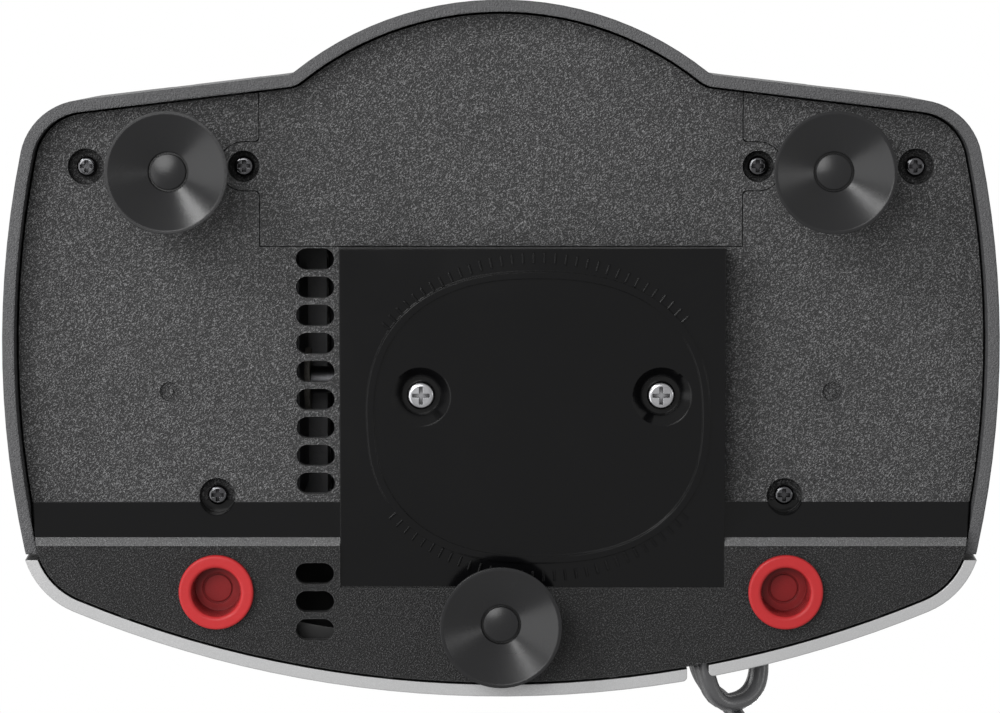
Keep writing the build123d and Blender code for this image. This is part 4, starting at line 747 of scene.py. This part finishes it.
# ================================================================ finishes with more than one part
def base_finish(name, colours, sizes):
    """Grained plastic with a smooth black motor plate and a smooth band on the step, with painted
    highlight and shade on its grain, step and edges, and painted shade in its recesses.
    """
    material, graph, inputs, place = start_material(name, Specular_IOR_Level=BASE_SPECULAR)
    slant = {"Vector": place, "Rotation": (0, 0, GRAIN_SLANT), "Scale": GRAIN_STRETCH}
    slanted = graph.add("Mapping", slant, vector_type="TEXTURE").outputs["Vector"]
    pebbles = graph.effect("moulded_grain", Vector=slanted, Scale=sizes.grain)
    rounded = graph.effect("soft_edge", Radius=sizes.edge)
    use = graph.effect("handling", Vector=place)
    # painted shade in the screw recesses and other deep places
    deep = graph.math("POWER", graph.effect("crevice", Distance=RECESS_SHADE_DISTANCE)["Mask"], RECESS_SHADE_POWER)
    plate = graph.effect("box_mask", Vector=place, Low=MOTOR_PLATE_LOW, High=MOTOR_PLATE_HIGH)["Mask"]
    low, high = BASE_BOX[0] - MASK_MARGIN, BASE_BOX[1] + MASK_MARGIN
    band = graph.effect("box_mask", Vector=place, Low=(low.x, STEP_BAND_Y, low.z),
                        High=(high.x, STEP_TOP_Y, high.z))["Mask"]
    edge = graph.effect("box_mask", Vector=place, Low=(low.x, STEP_EDGE_Y, low.z),
                        High=(high.x, STEP_BAND_Y, high.z))["Mask"]
    smooth = graph.math("MAXIMUM", plate, band)
    rough = graph.math("SUBTRACT", 1.0, smooth)
    front = graph.effect("box_mask", Vector=place, Low=low, High=(high.x, STEP_EDGE_Y, high.z))["Mask"]
    # painted highlight on the pebbles' tops and painted shade in their valleys
    valley, top = [opaque(colours.base, share) for share in GRAIN_SHADE_AND_HIGHLIGHT_SHARES]
    tops = pebbles["Tops"]
    grained = graph.mix(tops, valley, top)
    # painted shade: the grain is darker in front of the step
    darker = graph.mix(1.0, grained, (FRONT_SHADE_SHARE, FRONT_SHADE_SHARE, FRONT_SHADE_SHARE, 1.0), "MULTIPLY")
    grained = graph.mix(front, grained, darker)
    # painted highlight along the step's rounded lower edge
    step_highlit = graph.mix(edge, grained, graph.mix(tops, opaque(colours.base, STEP_HIGHLIGHT_SHARE), top))
    drifted = graph.effect("colour_drift", Vector=place, Color=step_highlit, Amount=0.06)["Color"]
    colour = graph.mix(smooth, drifted, opaque(colours.plate))
    # painted highlight along the sharp edges of the grained places
    paler = graph.math("MULTIPLY", graph.math("MULTIPLY", rounded["Edge"], rough), EDGE_HIGHLIGHT_MIX)
    edge_highlit = graph.mix(paler, colour, opaque(colours.base, EDGE_HIGHLIGHT_SHARE))
    # painted shade darkens the colour in recesses
    graph.feed(inputs["Base Color"], graph.mix(deep, edge_highlit, opaque(colours.base, RECESS_SHADE_SHARE)))
    gloss = graph.span(smooth, 0.0, 1.0, *BASE_ROUGHNESS)
    graph.feed(inputs["Roughness"], graph.math("ADD", gloss, use["Shift"], clamp=True))
    height = graph.math("MULTIPLY", pebbles["Height"], rough)
    graph.feed(inputs["Normal"], raised(graph, height, sizes.grain_depth, 1.0, rounded["Normal"]))
    return material


def silver_finish(name, colour):
    """Silver paint, fine flakes under a thin clear coat, over a dark plastic that shows inside."""
    material, graph, inputs, place = start_material(name, Coat_Roughness=0.25)
    inside = graph.effect("inner_side", Vector=place, Centre=PANEL_CENTRE)["Mask"]
    outside = graph.math("SUBTRACT", 1.0, inside)
    flakes = graph.noise(place, 4200.0, 1.0)
    rounded = graph.effect("soft_edge", Radius=0.0004)
    use = graph.effect("handling", Vector=place, Amount=0.04)
    sparkle = graph.span(flakes, 0.4, 0.7)
    flaked = graph.mix(sparkle, *[opaque(colour, share) for share in FLAKE_SHARES])
    drifted = graph.effect("colour_drift", Vector=place, Color=flaked, Amount=0.02)["Color"]
    graph.feed(inputs["Base Color"], graph.mix(inside, drifted, SILVER_INSIDE))
    mirror = graph.span(flakes, 0.45, 0.7, 0.15, 0.45)
    graph.feed(inputs["Metallic"], graph.math("MULTIPLY", mirror, outside))
    graph.feed(inputs["Coat Weight"], graph.math("MULTIPLY", outside, 0.2))
    graph.feed(inputs["Roughness"], graph.math("ADD", 0.36, use["Shift"], clamp=True))
    graph.feed(inputs["Normal"], raised(graph, flakes, 0.00001, 0.5, rounded["Normal"]))
    return material


def abrasive_finish(name, colour):
    """Bonded abrasive: sharp grains of mixed shade in a paler bond."""
    material, graph, inputs, place = start_material(name, Specular_IOR_Level=0.5)
    cells = graph.add("TexVoronoi", {"Vector": place, "Scale": 2600.0}, feature="F1")
    shade = graph.add("SeparateColor", {"Color": cells.outputs["Color"]}).outputs["Red"]
    mixed = graph.mix(shade, *[opaque(colour, share) for share in GRIT_SHARES])
    drifted = graph.effect("colour_drift", Vector=place, Color=mixed, Amount=0.12)["Color"]
    graph.feed(inputs["Base Color"], drifted)
    graph.feed(inputs["Roughness"], graph.span(shade, 0.0, 1.0, 0.55, 0.85))
    rounded = graph.effect("soft_edge", Radius=0.0003)
    grains = raised(graph, cells.outputs["Distance"], 0.00025, 1.0, rounded["Normal"])
    graph.feed(inputs["Normal"], grains)
    return material


def winding_finish(name, colour):
    """Enamelled wire laid side by side round the bobbin."""
    lacquer = {"Metallic": 0.9, "Coat_Weight": 0.6, "Coat_Roughness": 0.15}
    material, graph, inputs, place = start_material(name, **lacquer)
    wires = graph.add("TexWave", {"Vector": place, "Scale": 380.0, "Distortion": 0.4, "Detail": 1.0},
                      wave_type="BANDS", bands_direction="Z", wave_profile="SIN").outputs["Fac"]
    graph.feed(inputs["Base Color"], graph.mix(wires, opaque(colour, WIRE_GAP_SHARE), opaque(colour)))
    graph.feed(inputs["Roughness"], graph.span(wires, 0.0, 1.0, 0.5, 0.28))
    rounded = graph.effect("soft_edge", Radius=0.0006)
    graph.feed(inputs["Normal"], raised(graph, wires, 0.0003, 1.0, rounded["Normal"]))
    return material


# ================================================================ studio
def make_lamp(name, place, at, power, width):
    """A round area lamp that faces a point."""
    lamp = bpy.data.lights.new(name, "AREA")
    lamp.shape = "DISK"
    lamp.size = width
    lamp.energy = power
    holder = bpy.data.objects.new(name, lamp)
    bpy.context.scene.collection.objects.link(holder)
    holder.location = place
    holder.rotation_mode = "QUATERNION"
    holder.rotation_quaternion = (at - holder.location).to_track_quat("-Z", "Y")


def floor_material():
    """Pale floor that is clear from below."""
    material, graph, inputs, place = start_material("studio_floor", Roughness=0.7, Specular_IOR_Level=0.2)
    tint = graph.noise(place, 40.0, 3.0)
    greys = [(grey, grey, grey, 1.0) for grey in (0.86, 0.88)]
    graph.feed(inputs["Base Color"], graph.mix(graph.span(tint, 0.3, 0.7), *greys))
    kinds = ("BSDF_PRINCIPLED", "OUTPUT_MATERIAL")
    shader, output = [node_of(material.node_tree, kind) for kind in kinds]
    joined = graph.add("MixShader")
    graph.feed(joined.inputs[0], graph.add("NewGeometry").outputs["Backfacing"])
    graph.feed(joined.inputs[1], shader.outputs["BSDF"])
    graph.feed(joined.inputs[2], graph.add("BsdfTransparent").outputs["BSDF"])
    graph.feed(output.inputs["Surface"], joined.outputs[0])
    return material


def make_floor():
    """A wide floor that gets the shadows of the top lamps and nothing else."""
    mesh = bmesh.new()
    sides = [FLOOR_HALF * (2 * i / FLOOR_STEPS - 1) for i in range(FLOOR_STEPS + 1)]
    rows = [[mesh.verts.new((x, y, FLOOR_Z)) for x in sides] for y in sides]
    for low, high in zip(rows, rows[1:]):
        for i in range(FLOOR_STEPS):
            mesh.faces.new((low[i], low[i + 1], high[i + 1], high[i]))
    data = bpy.data.meshes.new("floor")
    mesh.to_mesh(data)
    mesh.free()
    data.materials.append(floor_material())
    floor = bpy.data.objects.new("floor", data)
    bpy.context.scene.collection.objects.link(floor)
    floor.visible_diffuse = False
    floor.visible_glossy = False
    floor.visible_transmission = False
    floor.visible_shadow = False


def make_world(ambient):
    """White to the camera, in reflections and through clear things; soft grey light otherwise."""
    world = bpy.data.worlds.new("studio")
    bpy.context.scene.world = world
    world.use_nodes = True
    graph = Graph(world.node_tree)
    background = node_of(world.node_tree, "BACKGROUND")
    path = graph.add("LightPath").outputs
    seen = graph.math("MAXIMUM", path["Is Camera Ray"], path["Is Glossy Ray"])
    seen = graph.math("MAXIMUM", seen, path["Is Transmission Ray"])
    graph.feed(background.inputs["Color"], (1, 1, 1, 1))
    graph.feed(background.inputs["Strength"], graph.span(seen, 0.0, 1.0, ambient, 1.0))


# ================================================================ operators
class SHARPENER_OT_camera(bpy.types.Operator):
    """Set the camera below the base, leaning a little to the back"""

    bl_idname = "sharpener.camera"
    bl_label = "Camera"

    def execute(self, context):
        studio = settings()[2]
        camera = bpy.data.objects.new("camera", bpy.data.cameras.new("camera"))
        context.scene.collection.objects.link(camera)
        sine, cosine = math.sin(studio.tilt), math.cos(studio.tilt)
        right, up, back = Vector((-1, 0, 0)), Vector((0, cosine, sine)), Vector((0, sine, -cosine))
        place = Matrix.Translation(CAMERA_TARGET + back * studio.distance)
        camera.matrix_world = place @ Matrix((right, up, back)).transposed().to_4x4()
        camera.data.sensor_width = SENSOR
        camera.data.lens = SENSOR * studio.distance / CAMERA_SPAN
        camera.data.clip_start, camera.data.clip_end = CAMERA_CLIP
        context.scene.camera = camera
        return {"FINISHED"}


class SHARPENER_OT_cord(bpy.types.Operator):
    """Lay the flat cord with its coil, tie and plug"""

    bl_idname = "sharpener.cord"
    bl_label = "Cord"

    def execute(self, context):
        colours = settings()[0]
        jacket = plastic("cord_jacket", colours.cord, 0.24, grain=5000.0, depth=0.00001, specular=0.5)
        strap = plastic("strap_weave", (0.02, 0.02, 0.021), 0.85, grain=3200.0, depth=0.00015,
                        specular=0.2)
        paint(metal("plated_blade", (0.72, 0.68, 0.58), 0.28), "brass_tabs", "plug_blades")
        cord, path = make_cord(jacket)
        tie = make_tie(strap)
        plug = make_plug(jacket)
        return {"FINISHED"}


class SHARPENER_OT_base(bpy.types.Operator):
    """Finish the base plate and its access panel"""

    bl_idname = "sharpener.base"
    bl_label = "Base"

    def execute(self, context):
        colours, sizes = settings()[:2]
        finish = base_finish("grained_base", colours, sizes)
        paint(finish, "base_black", "base_plate", "rear_access_panel")
        make_ticks(finish)
        return {"FINISHED"}


class SHARPENER_OT_shells(bpy.types.Operator):
    """Finish the rear housing, the front panel and the badge"""

    bl_idname = "sharpener.shells"
    bl_label = "Shells"

    def execute(self, context):
        colours, sizes = settings()[:2]
        edge = sizes.edge * SHELL_EDGE
        shell = plastic("shell_plastic", colours.shell, 0.42, grain=2600.0, depth=0.00022, edge=edge)
        paint(shell, "dark_shell", "rear_housing")
        paint(silver_finish("silver_paint", colours.silver), "silver_panel", "front_panel")
        badge = metal("badge_metal", (0.66, 0.67, 0.68), 0.3, BADGE_LINES)
        paint(badge, "badge_silver", "crown_badge")
        return {"FINISHED"}


class SHARPENER_OT_feet(bpy.types.Operator):
    """Finish the three suction feet"""

    bl_idname = "sharpener.feet"
    bl_label = "Suction feet"

    def execute(self, context):
        colours = settings()[0]
        rubber = plastic("cup_rubber", colours.rubber, 0.28, grain=400.0, depth=0.00001, specular=0.24)
        feet = [f"{place}_suction_foot" for place in ("front", "rear_left", "rear_right")]
        paint(rubber, "foot_rubber", *feet)
        return {"FINISHED"}


class SHARPENER_OT_grit_plugs(bpy.types.Operator):
    """Finish the two red grit plugs"""

    bl_idname = "sharpener.grit_plugs"
    bl_label = "Grit plugs"

    def execute(self, context):
        colours = settings()[0]
        # the painted shade of recesses reaches deep into each plug's cavity
        soft = plastic("plug_vinyl", colours.plug, 0.34, grain=900.0, depth=0.00002, deep=0.020,
                       specular=0.14, Subsurface_Weight=0.05, Subsurface_Radius=(0.004, 0.001, 0.001))
        paint(soft, "plug_red", "left_grit_plug", "right_grit_plug")
        return {"FINISHED"}


class SHARPENER_OT_fasteners(bpy.types.Operator):
    """Finish the screws"""

    bl_idname = "sharpener.fasteners"
    bl_label = "Fasteners"

    def execute(self, context):
        zinc = metal("zinc_plating", (0.30, 0.30, 0.31), 0.2)
        paint(zinc, "screw_zinc", "motor_screws", "clamp_screws")
        black_zinc = metal("black_zinc", (0.065, 0.065, 0.068), 0.14)
        paint(black_zinc, "screw_zinc", "case_screws", "panel_screws")
        return {"FINISHED"}


class SHARPENER_OT_guides(bpy.types.Operator):
    """Finish the blade guides, and add their foam strips and numerals"""

    bl_idname = "sharpener.guides"
    bl_label = "Blade guides"

    def execute(self, context):
        guide = plastic("guide_plastic", (0.12, 0.12, 0.125), 0.4, grain=1500.0, depth=0.00005)
        paint(guide, "guide_grey", "stage_1_blade_guide", "stage_2_blade_guide")
        foam = plastic("seal_foam", (0.01, 0.01, 0.01), 0.95, grain=2400.0, depth=0.0002, specular=0.05)
        ink = plastic("mark_paint", (0.55, 0.55, 0.56), 0.45, grain=3000.0, depth=0.00001)
        for stage, side in ((1, -1), (2, 1)):
            for place, x in zip(("inner", "outer"), SEAL_X):
                make_guide_seal(f"stage_{stage}_{place}_foam", side * x, foam)
            start = (side * STAGE_MIDDLE, *NUMERAL_FROM)
            make_mark(f"stage_{stage}_numeral", str(stage), NUMERAL_SIZE, f"stage_{stage}_blade_guide",
                      start, (0, 0, -1), ink, "housing")
        return {"FINISHED"}


class SHARPENER_OT_wheels(bpy.types.Operator):
    """Finish the grinding wheels, their springs, chambers and seals"""

    bl_idname = "sharpener.wheels"
    bl_label = "Grinding wheels"

    def execute(self, context):
        coarse = abrasive_finish("bonded_grit", (0.30, 0.29, 0.28))
        wheels = [f"stage_{stage}_{side}_wheel" for stage in (1, 2) for side in ("outer", "inner")]
        paint(coarse, "wheel_abrasive", *wheels)
        spring = metal("spring_wire", (0.50, 0.50, 0.52), 0.22)
        paint(spring, "bright_steel", "stage_1_wheel_spring", "stage_2_wheel_spring")
        chamber = plastic("chamber_plastic", (0.03, 0.03, 0.032), 0.5)
        paint(chamber, "chamber_black", "left_grit_chamber", "right_grit_chamber")
        felt = plastic("seal_felt", (0.34, 0.32, 0.29), 0.95, grain=2600.0, depth=0.0003, specular=0.1)
        paint(felt, "seal_felt", "left_shaft_seal", "right_shaft_seal")
        return {"FINISHED"}


class SHARPENER_OT_motor(bpy.types.Operator):
    """Finish the motor"""

    bl_idname = "sharpener.motor"
    bl_label = "Motor"

    def execute(self, context):
        laminated = metal("laminated_steel", (0.30, 0.30, 0.32), 0.4, TURNED_LINES, depth=0.00008)
        paint(laminated, "dark_steel", "stator_stack", "rotor_core")
        bright = metal("ground_steel", (0.62, 0.62, 0.64), 0.2, TURNED_LINES)
        paint(bright, "bright_steel", "shaft_clips", "stack_bolts")
        blued = metal("blued_steel", (0.10, 0.10, 0.105), 0.35, TURNED_LINES)
        paint(blued, "bright_steel", "motor_shaft")
        paint(plastic("bobbin_nylon", (0.72, 0.71, 0.66), 0.5), "bobbin_white", "coil_bobbin")
        paint(winding_finish("enamelled_wire", (0.70, 0.26, 0.10)), "copper", "coil_winding")
        paint(metal("shading_copper", (0.80, 0.42, 0.26), 0.3), "copper", "shading_rings")
        cast = metal("cast_zinc", (0.55, 0.56, 0.57), 0.5, CAST_LUMPS, depth=0.0001)
        paint(cast, "die_cast", "left_bearing_bracket", "right_bearing_bracket")
        bronze = metal("sintered_bronze", (0.58, 0.40, 0.22), 0.45)
        paint(bronze, "bronze", "left_bearing", "right_bearing")
        paint(plastic("grommet_rubber", (0.02, 0.02, 0.02), 0.6), "foot_rubber", "motor_grommets")
        paint(plastic("fan_nylon", (0.04, 0.04, 0.045), 0.45), "fan_plastic", "cooling_fan")
        return {"FINISHED"}


class SHARPENER_OT_switch(bpy.types.Operator):
    """Finish the power switch, and add its signs"""

    bl_idname = "sharpener.switch"
    bl_label = "Power switch"

    def execute(self, context):
        black = plastic("switch_plastic", (0.018, 0.018, 0.019), 0.3, grain=2200.0, depth=0.00002)
        paint(black, "switch_black", "switch_bezel", "switch_body", "power_rocker")
        paint(metal("brass_tab", (0.78, 0.60, 0.28), 0.3), "brass_tabs", "switch_terminals")
        ink = plastic("switch_paint", (0.62, 0.62, 0.62), 0.4, grain=3000.0, depth=0.00001)
        for name, sign, z in SWITCH_SIGNS:
            make_mark(name, sign, SIGN_SIZE, "power_rocker", (0.0, SIGN_FROM_Y, z), (0, 1, 0),
                      ink, "power_rocker")
        return {"FINISHED"}


class SHARPENER_OT_wiring(bpy.types.Operator):
    """Finish the leads, their connectors and the cord's clamp"""

    bl_idname = "sharpener.wiring"
    bl_label = "Wiring"

    def execute(self, context):
        black = plastic("lead_black", (0.02, 0.02, 0.021), 0.4, grain=3000.0, depth=0.00001)
        white = plastic("lead_white", (0.75, 0.75, 0.73), 0.4, grain=3000.0, depth=0.00001)
        paint(black, "lead_black", "line_lead", "switch_lead")
        paint(white, "lead_white", "neutral_lead")
        paint(plastic("connector_nylon", (0.70, 0.70, 0.67), 0.5), "connector_white", "wire_connectors")
        paint(plastic("relief_rubber", (0.02, 0.02, 0.021), 0.55), "cord_black", "strain_relief")
        paint(plastic("clamp_plastic", (0.03, 0.03, 0.032), 0.5), "base_black", "cord_clamp")
        return {"FINISHED"}


class SHARPENER_OT_stage(bpy.types.Operator):
    """Set up the floor, the lamps and the world"""

    bl_idname = "sharpener.stage"
    bl_label = "Studio"

    def execute(self, context):
        studio = settings()[2]
        middle = (CASE_BOX[0] + CASE_BOX[1]) / 2
        make_floor()
        for lamps, power in ((LAMPS_BELOW, studio.key), (LAMPS_ABOVE, studio.top_key)):
            for name, place, share, width in lamps:
                make_lamp(name, place, middle, power * share, width)
        make_world(studio.ambient)
        context.scene.view_settings.view_transform = "Standard"
        return {"FINISHED"}


class SHARPENER_PT_panel(bpy.types.Panel):
    """Lists the steps that dress the sharpener"""

    bl_idname = "SHARPENER_PT_panel"
    bl_label = "Knife sharpener"
    bl_space_type = "VIEW_3D"
    bl_region_type = "UI"
    bl_category = "Sharpener"

    def draw(self, context):
        for group in settings():
            box = self.layout.box()
            for name in group.bl_rna.properties.keys():
                if name not in ("rna_type", "name"):
                    box.prop(group, name)
        for step in STEPS:
            self.layout.operator(step.bl_idname)


STEPS = [
    SHARPENER_OT_camera,
    SHARPENER_OT_cord,
    SHARPENER_OT_base,
    SHARPENER_OT_shells,
    SHARPENER_OT_feet,
    SHARPENER_OT_grit_plugs,
    SHARPENER_OT_fasteners,
    SHARPENER_OT_guides,
    SHARPENER_OT_wheels,
    SHARPENER_OT_motor,
    SHARPENER_OT_switch,
    SHARPENER_OT_wiring,
    SHARPENER_OT_stage,
]
GROUPS = {
    "sharpener_colours": SharpenerColours,
    "sharpener_sizes": SharpenerSizes,
    "sharpener_studio": SharpenerStudio,
}


def register():
    for kind in (*GROUPS.values(), *STEPS, SHARPENER_PT_panel):
        bpy.utils.register_class(kind)
    for name, group in GROUPS.items():
        setattr(bpy.types.Scene, name, PointerProperty(type=group))


def unregister():
    for name in GROUPS:
        delattr(bpy.types.Scene, name)
    for kind in reversed((*GROUPS.values(), *STEPS, SHARPENER_PT_panel)):
        bpy.utils.unregister_class(kind)


def main():
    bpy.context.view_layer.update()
    register()
    for step in STEPS:
        family, name = step.bl_idname.split(".")
        getattr(getattr(bpy.ops, family), name)()


if __name__ == "__main__":
    main()
